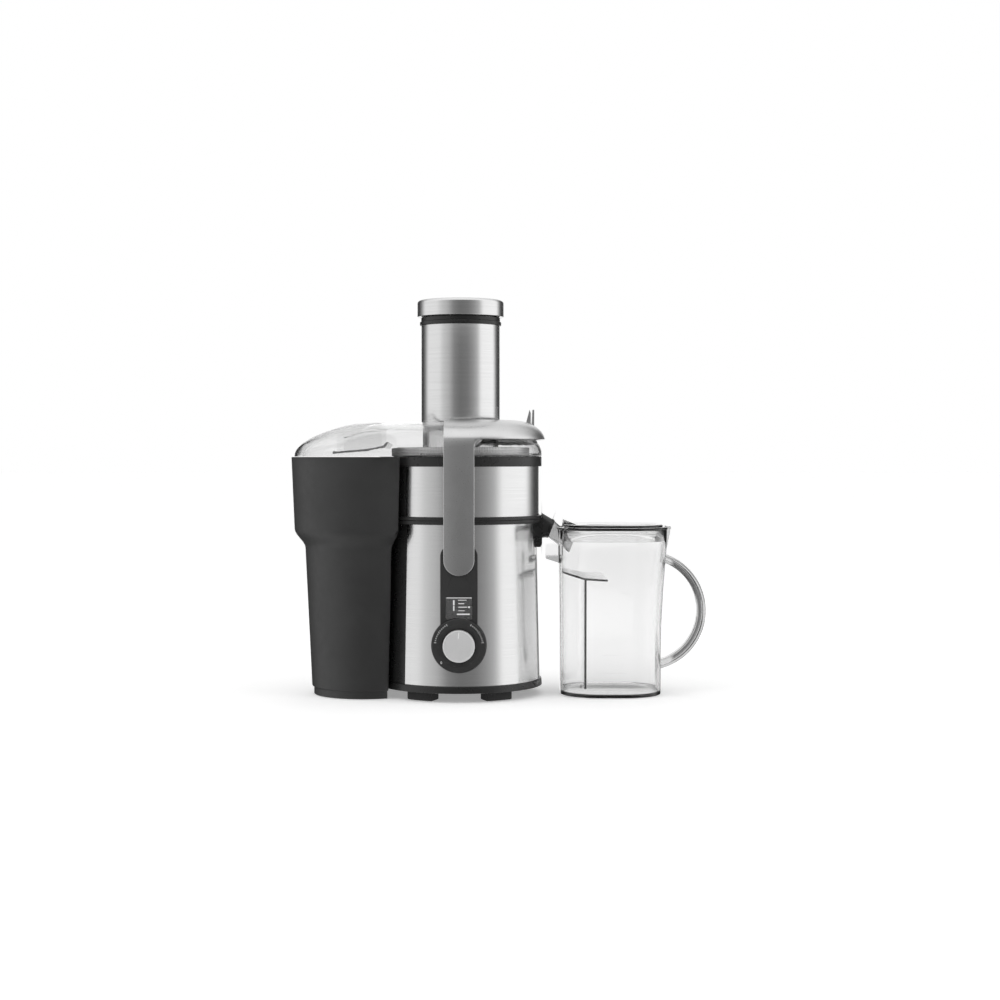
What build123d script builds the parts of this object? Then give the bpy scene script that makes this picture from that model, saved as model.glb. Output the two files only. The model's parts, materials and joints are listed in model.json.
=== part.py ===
"""Centrifugal juicer: a motor base under a juice bowl, a clear lid with a wide feed tube, a pulp
bin on the left, a juice jug on the right, and a locking arm that swings over the lid.

The frame has +Z up and its origin under the middle of the whole machine, on the worktop. The
front, with the control panel, faces -Y. The drive axis stands DRIVE_X from the origin, and the
x of every sketch plane below is measured from that axis.
"""

import os
from math import cos, radians, sin, sqrt

from build123d import *

# ---------------------------------------------------------------- driving dimensions, mm
DRIVE_X = -44.0  # drive axis, from the middle of the machine

FOOT_H = 10.0  # rubber feet
COVER_TOP = 18.0  # top edge of the bottom cover's rim
BASE_TOP = 196.0  # top of the motor housing
DECK_TOP = 200.4  # top of the housing's black band
BOWL_BOTTOM = 200.6
BOWL_STEEL_BOTTOM = 204.6
BOWL_STEEL_TOP = 260.4
BOWL_TOP = 271.4
LID_BOTTOM = 271.6
LID_TOP = 310.0
SLEEVE_TOP = 421.3
TUBE_TOP = 430.4
CAP_BOTTOM = 431.0
CAP_TOP = 450.0

BASE_R_TOP = 87.0  # the motor housing is a slight cone
BASE_R_BOTTOM = 91.0
HOUSING_WALL = 4.0
STEEL = 1.2  # thickness of the two steel wraps
WRAP_END = 132.0  # the steel wraps stop this many degrees either side of the right
BAND_R = 92.9
BOWL_R = 90.0
BOWL_BORE = 86.0

FEED_BORE = 42.0
FEED_WALL = 1.6
SLEEVE_R = 45.0
PUSHER_R = 41.3
PUSHER_BOTTOM = 240.0

PANEL_FRONT = 93.3  # distance of the panel's face in front of the drive axis
PANEL_HALF = 20.5
DIAL_Z = 63.5
PIVOT_Z = 157.4
PIVOT_R = 5.0
SHAFT_CLEARANCE = 0.05  # radial

ARM_HALF = 17.0  # half the width of the locking arm's straps
ARM_BACK = 93.7
ARM_THICK = 3.5

BIN_TOP = 271.0
BIN_WALL = 2.4
BIN_GAP_R = 98.0  # the bin's hollow side follows the housing at this radius

JUG_Y = 6.0
JUG_TOP = 188.0
JUG_WALL = 2.3
JUG_FLOOR = 4.0
SPOUT_HALF = 12.5  # half width of the spout's mouth
NOTCH_HALF = 14.0  # half width of the jug's notch round the spout

DRIVE_AXIS = Axis((DRIVE_X, 0, 0), (0, 0, 1))


# ---------------------------------------------------------------- sketch planes
def level(z, x=0.0, y=0.0):
    """A horizontal plane at height z, its origin at x, y from the drive axis."""
    return Plane(origin=(DRIVE_X + x, y, z))


def upright(y=0.0, angle=0.0):
    """An upright plane: its x runs out from the drive axis, its y is height."""
    turned_x = (cos(radians(angle)), sin(radians(angle)), 0)
    normal = (sin(radians(angle)), -cos(radians(angle)), 0)
    return Plane(origin=(DRIVE_X, y, 0), x_dir=turned_x, z_dir=normal)


def across(x, z, lean=0.0):
    """A plane facing right at x, z; lean tips its normal down by that many degrees."""
    normal = (cos(radians(lean)), 0, -sin(radians(lean)))
    return Plane(origin=(DRIVE_X + x, 0, z), x_dir=(0, 1, 0), z_dir=normal)


# ---------------------------------------------------------------- shared shapes
def turn(points, start=0.0, arc=360.0, mode=Mode.ADD):
    """A closed outline of (radius, height) points, turned about the drive axis."""
    with BuildSketch(upright(angle=start)) as outline:
        with BuildLine():
            Polyline(*points, close=True)
        make_face()
    revolve(outline.sketch.faces(), axis=DRIVE_AXIS, revolution_arc=arc, mode=mode)


def ring(bottom, top, outer, inner=0.0, x=0.0, y=0.0, mode=Mode.ADD):
    """A disc, or a ring if inner is given, from bottom to top."""
    with BuildSketch(level(bottom, x, y)) as outline:
        Circle(outer)
        if inner > 0:
            Circle(inner, mode=Mode.SUBTRACT)
    extrude(outline.sketch, amount=top - bottom, mode=mode)


def block(low, high, radius=0.0, mode=Mode.ADD):
    """A box between two corners, its four upright edges rounded if radius is given."""
    size = [h - l for l, h in zip(low, high)]
    with BuildSketch(level(low[2], (low[0] + high[0]) / 2, (low[1] + high[1]) / 2)) as outline:
        if radius > 0:
            RectangleRounded(size[0], size[1], radius)
        else:
            Rectangle(size[0], size[1])
    extrude(outline.sketch, amount=size[2], mode=mode)


def slab(points, front, back, mode=Mode.ADD):
    """A closed outline of (x, height) points, filled from the y of front to that of back."""
    with BuildSketch(upright(back)) as outline:
        with BuildLine():
            Polyline(*points, close=True)
        make_face()
    extrude(outline.sketch, amount=back - front, mode=mode)


def bar(x, z, radius, front, back, mode=Mode.ADD):
    """A round bar or hole along y."""
    with BuildSketch(upright(back)) as outline:
        with Locations((x, z)):
            Circle(radius)
    extrude(outline.sketch, amount=back - front, mode=mode)


def save(piece, node):
    """Label a finished piece and write it as the STEP file of its node."""
    piece.part.label = node
    export_step(piece.part, f"parts/{node}.step")


os.makedirs("parts", exist_ok=True)


# ---------------------------------------------------------------- motor housing
def base_r(z):
    """Radius of the motor base's outer face at height z."""
    share = (BASE_TOP - z) / (BASE_TOP - COVER_TOP)
    return BASE_R_TOP + (BASE_R_BOTTOM - BASE_R_TOP) * share


def base_band(outside, inside):
    """Outline of a wall that follows the base: how far its faces lie from the outer face."""
    return [
        (base_r(COVER_TOP) + inside, COVER_TOP),
        (base_r(COVER_TOP) + outside, COVER_TOP),
        (base_r(BASE_TOP) + outside, BASE_TOP),
        (base_r(BASE_TOP) + inside, BASE_TOP),
    ]


def base_openings():
    """What passes through the base's walls: pivots, dial shaft, display lead, spout, cord."""
    bar(0, PIVOT_Z, PIVOT_R, -100, 100, mode=Mode.SUBTRACT)
    bar(0, DIAL_Z, 4.0, -100, -70, mode=Mode.SUBTRACT)
    bar(0, 30, 8.0, 70, 100, mode=Mode.SUBTRACT)
    block((-6, -100, 98), (6, -70, 102), mode=Mode.SUBTRACT)
    block((73.5, -13.5, 177.9), (100, 13.5, 210), mode=Mode.SUBTRACT)


BOSS_R = 83.0  # circle of the bottom cover's three screws
FRONT = -90.0  # angle of the front, where the first screw is

with BuildPart() as motor_housing:
    turn(base_band(0, -HOUSING_WALL))
    with BuildSketch(level(COVER_TOP)):
        with PolarLocations(BOSS_R, 3, FRONT):
            Circle(5)
    extrude(amount=28)
    turn(base_band(2, -STEEL - 0.1), -WRAP_END, 2 * WRAP_END, Mode.SUBTRACT)
    with BuildSketch(level(COVER_TOP)):
        with PolarLocations(BOSS_R, 3, FRONT):
            Circle(1.7)
    extrude(amount=20, mode=Mode.SUBTRACT)
    base_openings()
save(motor_housing, "motor_housing")

with BuildPart() as base_steel_wrap:
    turn(base_band(0, -STEEL), -WRAP_END + 0.2, 2 * WRAP_END - 0.4)
    base_openings()
save(base_steel_wrap, "base_steel_wrap")

with BuildPart() as top_deck:
    turn(
        [
            (18, 193),
            (82.8, 193),
            (82.8, BASE_TOP + 0.1),
            (BAND_R, BASE_TOP + 0.1),
            (BAND_R, DECK_TOP),
            (80, DECK_TOP),
            (80, 196),
            (18, 196),
        ]
    )
    base_openings()
save(top_deck, "top_deck")

with BuildPart() as bottom_cover:
    turn(
        [
            (0, FOOT_H),
            (93.6, FOOT_H),
            (92.8, COVER_TOP - 0.1),
            (BOSS_R - 6, COVER_TOP - 0.1),
            (BOSS_R - 6, FOOT_H + 3),
            (0, FOOT_H + 3),
        ]
    )
    with BuildSketch(level(FOOT_H)):
        with PolarLocations(38, 20):
            SlotOverall(20, 3)
    extrude(amount=3, mode=Mode.SUBTRACT)
    with BuildSketch(level(FOOT_H)):
        with PolarLocations(BOSS_R, 3, FRONT):
            Circle(2.0)
    extrude(amount=8, mode=Mode.SUBTRACT)
    with BuildSketch(level(FOOT_H)):
        with PolarLocations(BOSS_R, 3, FRONT):
            Circle(4.2)
    extrude(amount=3, mode=Mode.SUBTRACT)
save(bottom_cover, "bottom_cover")

with BuildPart() as base_screws:
    with BuildSketch(level(FOOT_H + 0.4)):
        with PolarLocations(BOSS_R, 3, FRONT):
            Circle(3.8)
    extrude(amount=2.5)
    with BuildSketch(level(FOOT_H + 2.9)):
        with PolarLocations(BOSS_R, 3, FRONT):
            Circle(1.6)
    extrude(amount=20)
    with BuildSketch(level(FOOT_H + 0.4)):
        with PolarLocations(BOSS_R, 3, FRONT):
            Rectangle(4.4, 0.8)
            Rectangle(0.8, 4.4)
    extrude(amount=1.2, mode=Mode.SUBTRACT)
save(base_screws, "base_screws")

FOOT_SPREAD = 22.0  # degrees covered by one foot

with BuildPart() as rubber_feet:
    for middle in (-57.5, -122.5, 57.5, 122.5):
        turn(
            [(64, 0.8), (64.8, 0), (84.2, 0), (85, 0.8), (85, FOOT_H), (64, FOOT_H)],
            middle - FOOT_SPREAD / 2,
            FOOT_SPREAD,
        )
save(rubber_feet, "rubber_feet")

with BuildPart() as cord_gland:
    bar(0, 30, 7.9, 82, 94.5)
    bar(0, 30, 11, 91.5, 94.5)
    bar(0, 30, 6.5, 94.5, 103)
    fillet(cord_gland.edges().filter_by(GeomType.CIRCLE).sort_by(Axis.Y)[-1], 1.5)
    bar(0, 30, 3.6, 82, 103, mode=Mode.SUBTRACT)
save(cord_gland, "cord_gland")

with BuildPart() as splash_seal:
    turn([(5.4, 191), (17.9, 191), (17.9, 197), (15, 197), (15, 193.5), (5.4, 193.5)])
save(splash_seal, "splash_seal")

# ---------------------------------------------------------------- control panel
BEZEL_R = 30.6
RECESS_R = 23.0
SCREEN_HALF = 14.9
SCREEN_BOTTOM = 92.3
SCREEN_TOP = 117.1


def clear_of_base():
    """Cut a piece back to the motor base's outer face."""
    turn(
        [(0, 0), (base_r(0) + 0.05, 0), (base_r(230) + 0.05, 230), (0, 230)],
        mode=Mode.SUBTRACT,
    )


with BuildPart() as control_panel:
    with BuildSketch(upright(-60)):
        with Locations((0, (DIAL_Z + 174) / 2)):
            RectangleRounded(2 * PANEL_HALF, 174 - DIAL_Z, 12)
        with Locations((0, DIAL_Z + 10)):
            Rectangle(2 * PANEL_HALF, 30)
        with Locations((0, DIAL_Z)):
            Circle(BEZEL_R)
    extrude(amount=PANEL_FRONT - 60)
    chamfer(control_panel.faces().sort_by(Axis.Y)[0].edges(), 0.6)
    clear_of_base()
    bar(0, PIVOT_Z, PIVOT_R, -100, -60, mode=Mode.SUBTRACT)
    bar(0, DIAL_Z, 3.0 + SHAFT_CLEARANCE, -100, -60, mode=Mode.SUBTRACT)
    block(
        (-SCREEN_HALF, -100, SCREEN_BOTTOM),
        (SCREEN_HALF, -90, SCREEN_TOP),
        mode=Mode.SUBTRACT,
    )
    block((-6, -100, 98), (6, -60, 102), mode=Mode.SUBTRACT)
save(control_panel, "control_panel")

with BuildPart() as dial_bezel:
    bar(0, DIAL_Z, BEZEL_R - 0.7, -97, -PANEL_FRONT)
    bar(0, DIAL_Z, RECESS_R, -97, -PANEL_FRONT, mode=Mode.SUBTRACT)
    chamfer(dial_bezel.faces().sort_by(Axis.Y)[0].edges(), 1.2)
save(dial_bezel, "dial_bezel")

with BuildPart() as display_module:
    block((-14.7, -92.1, SCREEN_BOTTOM + 0.2), (14.7, -90.1, SCREEN_TOP - 0.2))
save(display_module, "display_module")

with BuildPart() as display_window:
    block((-14.8, -93.2, SCREEN_BOTTOM + 0.1), (14.8, -92.2, SCREEN_TOP - 0.1))
save(display_window, "display_window")

with BuildPart() as dial_encoder:
    block((-7, -83.4, DIAL_Z - 7), (7, -76.2, DIAL_Z + 7))
save(dial_encoder, "dial_encoder")

with BuildPart() as control_board:
    block((-19, -76.1, 50), (19, -74.5, 125))
    for x in (-10, 0, 10):
        block((x - 3, -74.5, 70), (x + 3, -66, 84))
save(control_board, "control_board")

with BuildPart() as safety_switch:
    block((-10, -79, 130), (10, -70, 148))
    block((-3, -79, 148), (3, -77, 151))
save(safety_switch, "safety_switch")

with BuildPart() as rear_pivot_plate:
    with BuildSketch(upright(PANEL_FRONT)):
        with Locations((0, PIVOT_Z)):
            RectangleRounded(2 * PANEL_HALF, 44, 12)
    extrude(amount=PANEL_FRONT - 60)
    clear_of_base()
    bar(0, PIVOT_Z, PIVOT_R, 60, 100, mode=Mode.SUBTRACT)
save(rear_pivot_plate, "rear_pivot_plate")

# ---------------------------------------------------------------- motor, standing part
POST = 34.0  # x and y of the motor's four posts
LOWER_PLATE = 36.0
STATOR_BOTTOM = 64.0
STATOR_TOP = 112.0
UPPER_PLATE = 140.0
PLATE = 3.5
BEARING_R = 11.0
UPPER_SHAFT_R = 5.0
LOWER_SHAFT_R = 4.0


def posts(bottom, top, radius, mode=Mode.ADD):
    """Four round posts at the corners of the motor."""
    with BuildSketch(level(bottom)) as outline:
        with GridLocations(2 * POST, 2 * POST, 2, 2):
            Circle(radius)
    extrude(outline.sketch, amount=top - bottom, mode=mode)


def bearing_bracket(z):
    """A motor end plate at height z, with a bearing seat and four windows."""
    ring(z, z + PLATE, 54)
    ring(z, z + 9, BEARING_R + 3)
    ring(z, z + 9, BEARING_R, mode=Mode.SUBTRACT)
    with BuildSketch(level(z)) as windows:
        with PolarLocations(32, 4):
            Circle(12)
    extrude(windows.sketch, amount=PLATE, mode=Mode.SUBTRACT)


with BuildPart() as motor_stator:
    block((-42, -42, STATOR_BOTTOM), (42, 42, STATOR_TOP), radius=10)
    ring(STATOR_BOTTOM, STATOR_TOP, 27, mode=Mode.SUBTRACT)
    with BuildSketch(level(STATOR_BOTTOM)):
        with GridLocations(48, 54, 2, 2):
            Rectangle(10, 11)
    extrude(amount=STATOR_TOP - STATOR_BOTTOM, mode=Mode.SUBTRACT)
    posts(STATOR_BOTTOM, STATOR_TOP, 1.9, Mode.SUBTRACT)
save(motor_stator, "motor_stator")

with BuildPart() as field_windings:
    for y in (-27, 27):
        block((-28.8, y - 5.3, 56), (28.8, y + 5.3, 120))
        block((-19.2, y - 5.3, 63.9), (19.2, y + 5.3, 112.1), mode=Mode.SUBTRACT)
save(field_windings, "field_windings")

with BuildPart() as lower_bearing_bracket:
    bearing_bracket(LOWER_PLATE)
    posts(LOWER_PLATE + PLATE, STATOR_BOTTOM, 4)
save(lower_bearing_bracket, "lower_bearing_bracket")

with BuildPart() as upper_bearing_bracket:
    bearing_bracket(UPPER_PLATE)
    posts(STATOR_TOP, UPPER_PLATE, 4)
    posts(STATOR_TOP, UPPER_PLATE + PLATE, 1.9, Mode.SUBTRACT)
save(upper_bearing_bracket, "upper_bearing_bracket")

with BuildPart() as lower_bearing:
    ring(LOWER_PLATE, LOWER_PLATE + 8, BEARING_R, LOWER_SHAFT_R)
save(lower_bearing, "lower_bearing")

with BuildPart() as upper_bearing:
    ring(UPPER_PLATE, UPPER_PLATE + 8, BEARING_R, UPPER_SHAFT_R)
save(upper_bearing, "upper_bearing")

with BuildPart() as motor_screws:
    posts(UPPER_PLATE + PLATE, UPPER_PLATE + PLATE + 3, 4)
    posts(STATOR_TOP - 20, UPPER_PLATE + PLATE, 1.8)
save(motor_screws, "motor_screws")

with BuildPart() as motor_dampers:
    posts(FOOT_H + 3, LOWER_PLATE, 8)
    posts(20, 28, 9.5)
save(motor_dampers, "motor_dampers")

with BuildPart() as brush_holders:
    for side in (-1, 1):
        x_in = min(side * 17, side * 38)
        x_out = max(side * 17, side * 38)
        block((x_in, -6.5, 123.5), (x_out, 6.5, UPPER_PLATE))
        block((x_in, -4.1, 125.9), (x_out, 4.1, 133.1), mode=Mode.SUBTRACT)
save(brush_holders, "brush_holders")

with BuildPart() as carbon_brushes:
    for side in (-1, 1):
        x_in = min(side * 13.4, side * 30)
        x_out = max(side * 13.4, side * 30)
        block((x_in, -4, 126), (x_out, 4, 133))
save(carbon_brushes, "carbon_brushes")

# ---------------------------------------------------------------- motor, turning part
with BuildPart() as motor_shaft:
    lower = LOWER_SHAFT_R - SHAFT_CLEARANCE
    upper = UPPER_SHAFT_R - SHAFT_CLEARANCE
    turn([(0, 31), (lower, 31), (lower, 44.2), (upper, 44.2), (upper, 206), (0, 206)])
save(motor_shaft, "motor_shaft")

with BuildPart() as armature_core:
    ring(65, 111, 26.4, UPPER_SHAFT_R)
    with BuildSketch(level(65)):
        with PolarLocations(22.5, 12):
            Rectangle(9, 2.6)
    extrude(amount=46, mode=Mode.SUBTRACT)
save(armature_core, "armature_core")

with BuildPart() as armature_windings:
    turn([(5.2, 111.1), (19, 111.1), (19, 115), (14, 120), (5.2, 120)])
    turn([(5.2, 57), (14, 57), (19, 61), (19, 64.9), (5.2, 64.9)])
    with BuildSketch(level(64.9)):
        with PolarLocations(20.5, 12):
            Rectangle(4, 2.2)
    extrude(amount=46.2)
save(armature_windings, "armature_windings")

with BuildPart() as commutator:
    ring(120.5, 137, 13, UPPER_SHAFT_R)
    with BuildSketch(level(120.5)):
        with PolarLocations(13, 24):
            Rectangle(1.4, 0.6)
    extrude(amount=16.5, mode=Mode.SUBTRACT)
save(commutator, "commutator")

with BuildPart() as cooling_fan:
    ring(45.5, 47, 41, UPPER_SHAFT_R)
    ring(47, 55, 9, UPPER_SHAFT_R)
    with BuildSketch(level(47)):
        with PolarLocations(24, 11):
            Rectangle(32, 1.6)
    extrude(amount=7.5)
    ring(47, 55, UPPER_SHAFT_R, mode=Mode.SUBTRACT)
save(cooling_fan, "cooling_fan")

with BuildPart() as drive_coupling:
    ring(198, 201, 15, UPPER_SHAFT_R)
    ring(201, 206, 8.5, UPPER_SHAFT_R)
    with BuildSketch(level(201)):
        with PolarLocations(8, 6):
            Rectangle(3.6, 3)
    extrude(amount=5)
save(drive_coupling, "drive_coupling")

# ---------------------------------------------------------------- juice bowl and spout
with BuildPart() as juice_bowl:
    turn(
        [
            (19, BOWL_BOTTOM),
            (BAND_R, BOWL_BOTTOM),
            (BAND_R, BOWL_STEEL_BOTTOM),
            (BOWL_R - STEEL - 0.1, BOWL_STEEL_BOTTOM),
            (BOWL_R - STEEL - 0.1, BOWL_STEEL_TOP),
            (93, BOWL_STEEL_TOP),
            (93, BOWL_TOP),
            (BOWL_BORE, BOWL_TOP),
            (BOWL_BORE, 205),
            (84, 203.2),
            (21.5, 204.2),
            (21.5, 212),
            (19, 212),
        ]
    )
    pad = [
        (BOWL_R - STEEL - 0.2, BOWL_STEEL_BOTTOM),
        (BOWL_R, BOWL_STEEL_BOTTOM),
        (BOWL_R, BOWL_STEEL_TOP),
        (BOWL_R - STEEL - 0.2, BOWL_STEEL_TOP),
    ]
    turn(pad, WRAP_END, 360 - 2 * WRAP_END)
    block((76.5, -10, 199), (84, 10, 206), mode=Mode.SUBTRACT)
save(juice_bowl, "juice_bowl")

with BuildPart() as bowl_steel_wrap:
    turn(
        [
            (BOWL_R - STEEL, BOWL_STEEL_BOTTOM + 0.1),
            (BOWL_R, BOWL_STEEL_BOTTOM + 0.1),
            (BOWL_R, BOWL_STEEL_TOP - 0.1),
            (BOWL_R - STEEL, BOWL_STEEL_TOP - 0.1),
        ],
        -WRAP_END + 0.2,
        2 * WRAP_END - 0.4,
    )
save(bowl_steel_wrap, "bowl_steel_wrap")

NOZZLE_X = 104.2  # where the black spout ends and its clear tip begins
NOZZLE_Z = 188.2
NOZZLE_LEAN = 21.0
TIP_X = 127.8
TIP_Z = 168.3
TIP_LEAN = 27.0


def spout_duct(half, bottom, top, radius, mode):
    """The duct from the bowl's side to the nozzle: a rounded box that becomes a tube."""
    with BuildSketch(across(93.1, (bottom + top) / 2)) as mouth:
        RectangleRounded(2 * half, top - bottom, 5)
    with BuildSketch(across(NOZZLE_X, NOZZLE_Z, NOZZLE_LEAN)) as end:
        Circle(radius)
    loft([mouth.sketch, end.sketch], mode=mode)


def tip_duct(start_r, end_r, mode):
    """The clear tip: a tube that narrows and bends down."""
    with BuildSketch(across(NOZZLE_X + 0.1, NOZZLE_Z - 0.04, NOZZLE_LEAN)) as start:
        Circle(start_r)
    with BuildSketch(across(TIP_X, TIP_Z, TIP_LEAN)) as end:
        Circle(end_r)
    loft([start.sketch, end.sketch], mode=mode)


with BuildPart() as spout:
    block((74, -SPOUT_HALF, 178.2), (93.1, SPOUT_HALF, BOWL_BOTTOM))
    spout_duct(SPOUT_HALF, 178.2, 207, 10.5, Mode.ADD)
    with BuildSketch(across(NOZZLE_X, NOZZLE_Z, NOZZLE_LEAN)):
        Circle(11.3)
    extrude(amount=-2.4)
    block((76.5, -10, 181), (93.1, 10, 201), mode=Mode.SUBTRACT)
    spout_duct(10, 181, 200, 8.6, Mode.SUBTRACT)
save(spout, "spout")

with BuildPart() as spout_tip:
    tip_duct(10.2, 8.2, Mode.ADD)
    tip_duct(8.6, 6.8, Mode.SUBTRACT)
save(spout_tip, "spout_tip")

with BuildPart() as spout_cradle:
    slab([(80, 168), (91.5, 168), (93.4, 172), (93.4, 178), (80, 178)], -13.4, 13.4)
    clear_of_base()
save(spout_cradle, "spout_cradle")

# ---------------------------------------------------------------- turning basket
with BuildPart() as basket_hub:
    ring(203, 213.8, 16, 10.2)
    ring(211, 213.8, 16, 6)
save(basket_hub, "basket_hub")

with BuildPart() as filter_basket:
    turn(
        [
            (12, 213.9),
            (43, 213.9),
            (76.8, 272),
            (79, 273),
            (79, 282),
            (77.4, 282),
            (77.4, 274.4),
            (75.6, 273.4),
            (42.2, 215.4),
            (12, 215.4),
        ]
    )
save(filter_basket, "filter_basket")

with BuildPart() as grater_disc:
    ring(215.5, 217.2, 41, 6)
    for circle_r, count in ((14, 8), (22, 14), (30, 20), (37, 24)):
        with BuildSketch(level(217.2)):
            with PolarLocations(circle_r, count):
                Rectangle(2.6, 0.9, rotation=25)
        extrude(amount=1.6)
save(grater_disc, "grater_disc")

with BuildPart() as grater_screw:
    turn([(0, 212), (5.9, 212), (5.9, 217.3), (10, 217.3), (9, 220.5), (4, 222.5), (0, 222.5)])
save(grater_screw, "grater_screw")

# ---------------------------------------------------------------- lid and feed tube
# height, radius round the tube, left end, half depth of the part over the bin
LID_SECTIONS = (
    (LID_BOTTOM, 93.0, -188.2, 85.0),
    (281.0, 92.2, -184.8, 83.5),
    (290.5, 86.2, -173.2, 76.0),
    (300.5, 74.0, -151.0, 62.0),
    (306.5, 61.0, -131.0, 50.0),
    (LID_TOP, 47.5, -98.0, 37.0),
)


LID_CORNER = 0.75  # corner radius over the bin, as a share of the half depth there


def lid_volume(inset, mode=Mode.ADD):
    """The lid's dome with its walls and crown moved in by inset."""
    sections = []
    for height, radius, left, half in LID_SECTIONS:
        drop = inset * (height - LID_BOTTOM) / (LID_TOP - LID_BOTTOM)
        corner = LID_CORNER * half
        with BuildSketch(level(height - drop)) as outline:
            Circle(radius - inset)
            with Locations((left + corner, -half + corner), (left + corner, half - corner)):
                Circle(corner - inset)
            make_hull()
        sections.append(outline.sketch)
    loft(sections, mode=mode)


with BuildPart() as lid:
    lid_volume(0)
    lid_volume(2.6, Mode.SUBTRACT)
    ring(290, 320, FEED_BORE + FEED_WALL + 0.05, mode=Mode.SUBTRACT)
    skirt = [(83.2, 265), (85.6, 265), (85.6, LID_BOTTOM + 2), (83.2, LID_BOTTOM + 2)]
    shelf = [(83.2, LID_BOTTOM + 2), (90.8, LID_BOTTOM + 2), (90.8, 275.2), (83.2, 275.2)]
    turn(skirt, -118, 236)
    turn(shelf, -118, 236)
save(lid, "lid")

with BuildPart() as lid_seal:
    turn([(86.2, BOWL_TOP), (90.2, BOWL_TOP), (90.2, 273.5), (86.2, 273.5)], -117, 234)
save(lid_seal, "lid_seal")

with BuildPart() as pulp_deflector:
    slab(
        [
            (-143, 275),
            (-104, 278),
            (-84, 282.4),
            (-80, 288.5),
            (-82, 288.5),
            (-86, 284.6),
            (-104, 280.4),
            (-143, 277.2),
        ],
        -42,
        42,
    )
    for y in (-42, 40):
        slab([(-138, 276), (-88, 283), (-88, 312), (-138, 312)], y, y + 2)
    lid_volume(2.6, Mode.INTERSECT)
save(pulp_deflector, "pulp_deflector")

with BuildPart() as feed_tube:
    ring(283, TUBE_TOP, FEED_BORE + FEED_WALL, FEED_BORE)
save(feed_tube, "feed_tube")

with BuildPart() as feed_tube_sleeve:
    ring(LID_TOP + 0.1, SLEEVE_TOP, SLEEVE_R, FEED_BORE + FEED_WALL + 0.05)
save(feed_tube_sleeve, "feed_tube_sleeve")

with BuildPart() as feed_tube_collar:
    inner = FEED_BORE + FEED_WALL + 0.05
    turn([(inner, 421.4), (46.6, 421.4), (46.6, 429.4), (45.6, TUBE_TOP), (inner, TUBE_TOP)])
save(feed_tube_collar, "feed_tube_collar")

# ---------------------------------------------------------------- pusher
with BuildPart() as pusher_body:
    ring(PUSHER_BOTTOM, CAP_TOP - 2.6, PUSHER_R)
    ring(PUSHER_BOTTOM + 3, CAP_TOP - 2.6, PUSHER_R - 2.2, mode=Mode.SUBTRACT)
save(pusher_body, "pusher_body")

with BuildPart() as pusher_cap:
    turn(
        [
            (PUSHER_R + 0.05, CAP_BOTTOM),
            (49.5, CAP_BOTTOM),
            (49.5, CAP_TOP - 5),
            (48.3, CAP_TOP - 2),
            (45.5, CAP_TOP),
            (0, CAP_TOP),
            (0, CAP_TOP - 2.5),
            (44.5, CAP_TOP - 2.5),
            (47, CAP_TOP - 5.5),
            (47, CAP_BOTTOM + 2),
            (PUSHER_R + 0.05, CAP_BOTTOM + 2),
        ]
    )
save(pusher_cap, "pusher_cap")

# ---------------------------------------------------------------- locking arm
ARM_FRONT = ARM_BACK + ARM_THICK
# the arm's bent top, as distance from the drive axis and height, outer face then inner face
ARM_BEND = [
    (52, 313),
    (66, 312.2),
    (78, 309.4),
    (88, 303),
    (95.5, 294.5),
    (ARM_FRONT, 288),
    (ARM_BACK, 288),
    (92, 293.6),
    (85.5, 300.4),
    (76.5, 306),
    (65.5, 309.2),
    (52, 310.4),
]

with BuildPart() as locking_arm:
    turn(ARM_BEND, -90, 180)
    for side in (-1, 1):
        with BuildSketch(Plane(origin=(DRIVE_X - ARM_HALF, 0, 0), x_dir=(0, side, 0), z_dir=(side, 0, 0))):
            with BuildLine():
                Polyline(*ARM_BEND, close=True)
            make_face()
        extrude(amount=side * 2 * ARM_HALF)
    for near, far in ((-ARM_FRONT, -ARM_BACK), (ARM_BACK, ARM_FRONT)):
        strap = [(-ARM_HALF, PIVOT_Z), (ARM_HALF, PIVOT_Z), (ARM_HALF, 288), (-ARM_HALF, 288)]
        slab(strap, near, far)
        bar(0, PIVOT_Z, ARM_HALF, near, far)
save(locking_arm, "locking_arm")

with BuildPart() as arm_pivot_pins:
    for near, far in ((-ARM_BACK, -82), (82, ARM_BACK)):
        bar(0, PIVOT_Z, PIVOT_R - SHAFT_CLEARANCE, near, far)
save(arm_pivot_pins, "arm_pivot_pins")

with BuildPart() as arm_thumb_tab:
    slab([(75.5, 310.5), (81, 308.4), (81, 322), (79.6, 326)], 22, 40)
    slab([(82, 308), (85, 305.6), (85, 326), (83, 326)], 22, 40)
    slab([(76, 309.6), (84.5, 305.5), (84.5, 308.5), (76, 312)], 22, 40)
    turn(
        [(0, 280), (110, 280), (95.5, 294.8), (88, 303.3), (78, 309.7), (66, 312.5), (0, 313)],
        mode=Mode.SUBTRACT,
    )
save(arm_thumb_tab, "arm_thumb_tab")

# ---------------------------------------------------------------- dial
with BuildPart() as dial_knob:
    bar(0, DIAL_Z, 17.6, -105, -94)
    fillet(dial_knob.edges().filter_by(GeomType.CIRCLE).sort_by(Axis.Y)[0], 0.8)
    bar(0, DIAL_Z, 3.0, -94, -83.6)
    slab([(-0.8, 72), (0.8, 72), (0.8, 79.5), (-0.8, 79.5)], -106, -104.6, mode=Mode.SUBTRACT)
save(dial_knob, "dial_knob")

with BuildPart() as dial_index:
    slab([(-0.7, 72.1), (0.7, 72.1), (0.7, 79.4), (-0.7, 79.4)], -105, -104.65)
save(dial_index, "dial_index")

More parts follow.
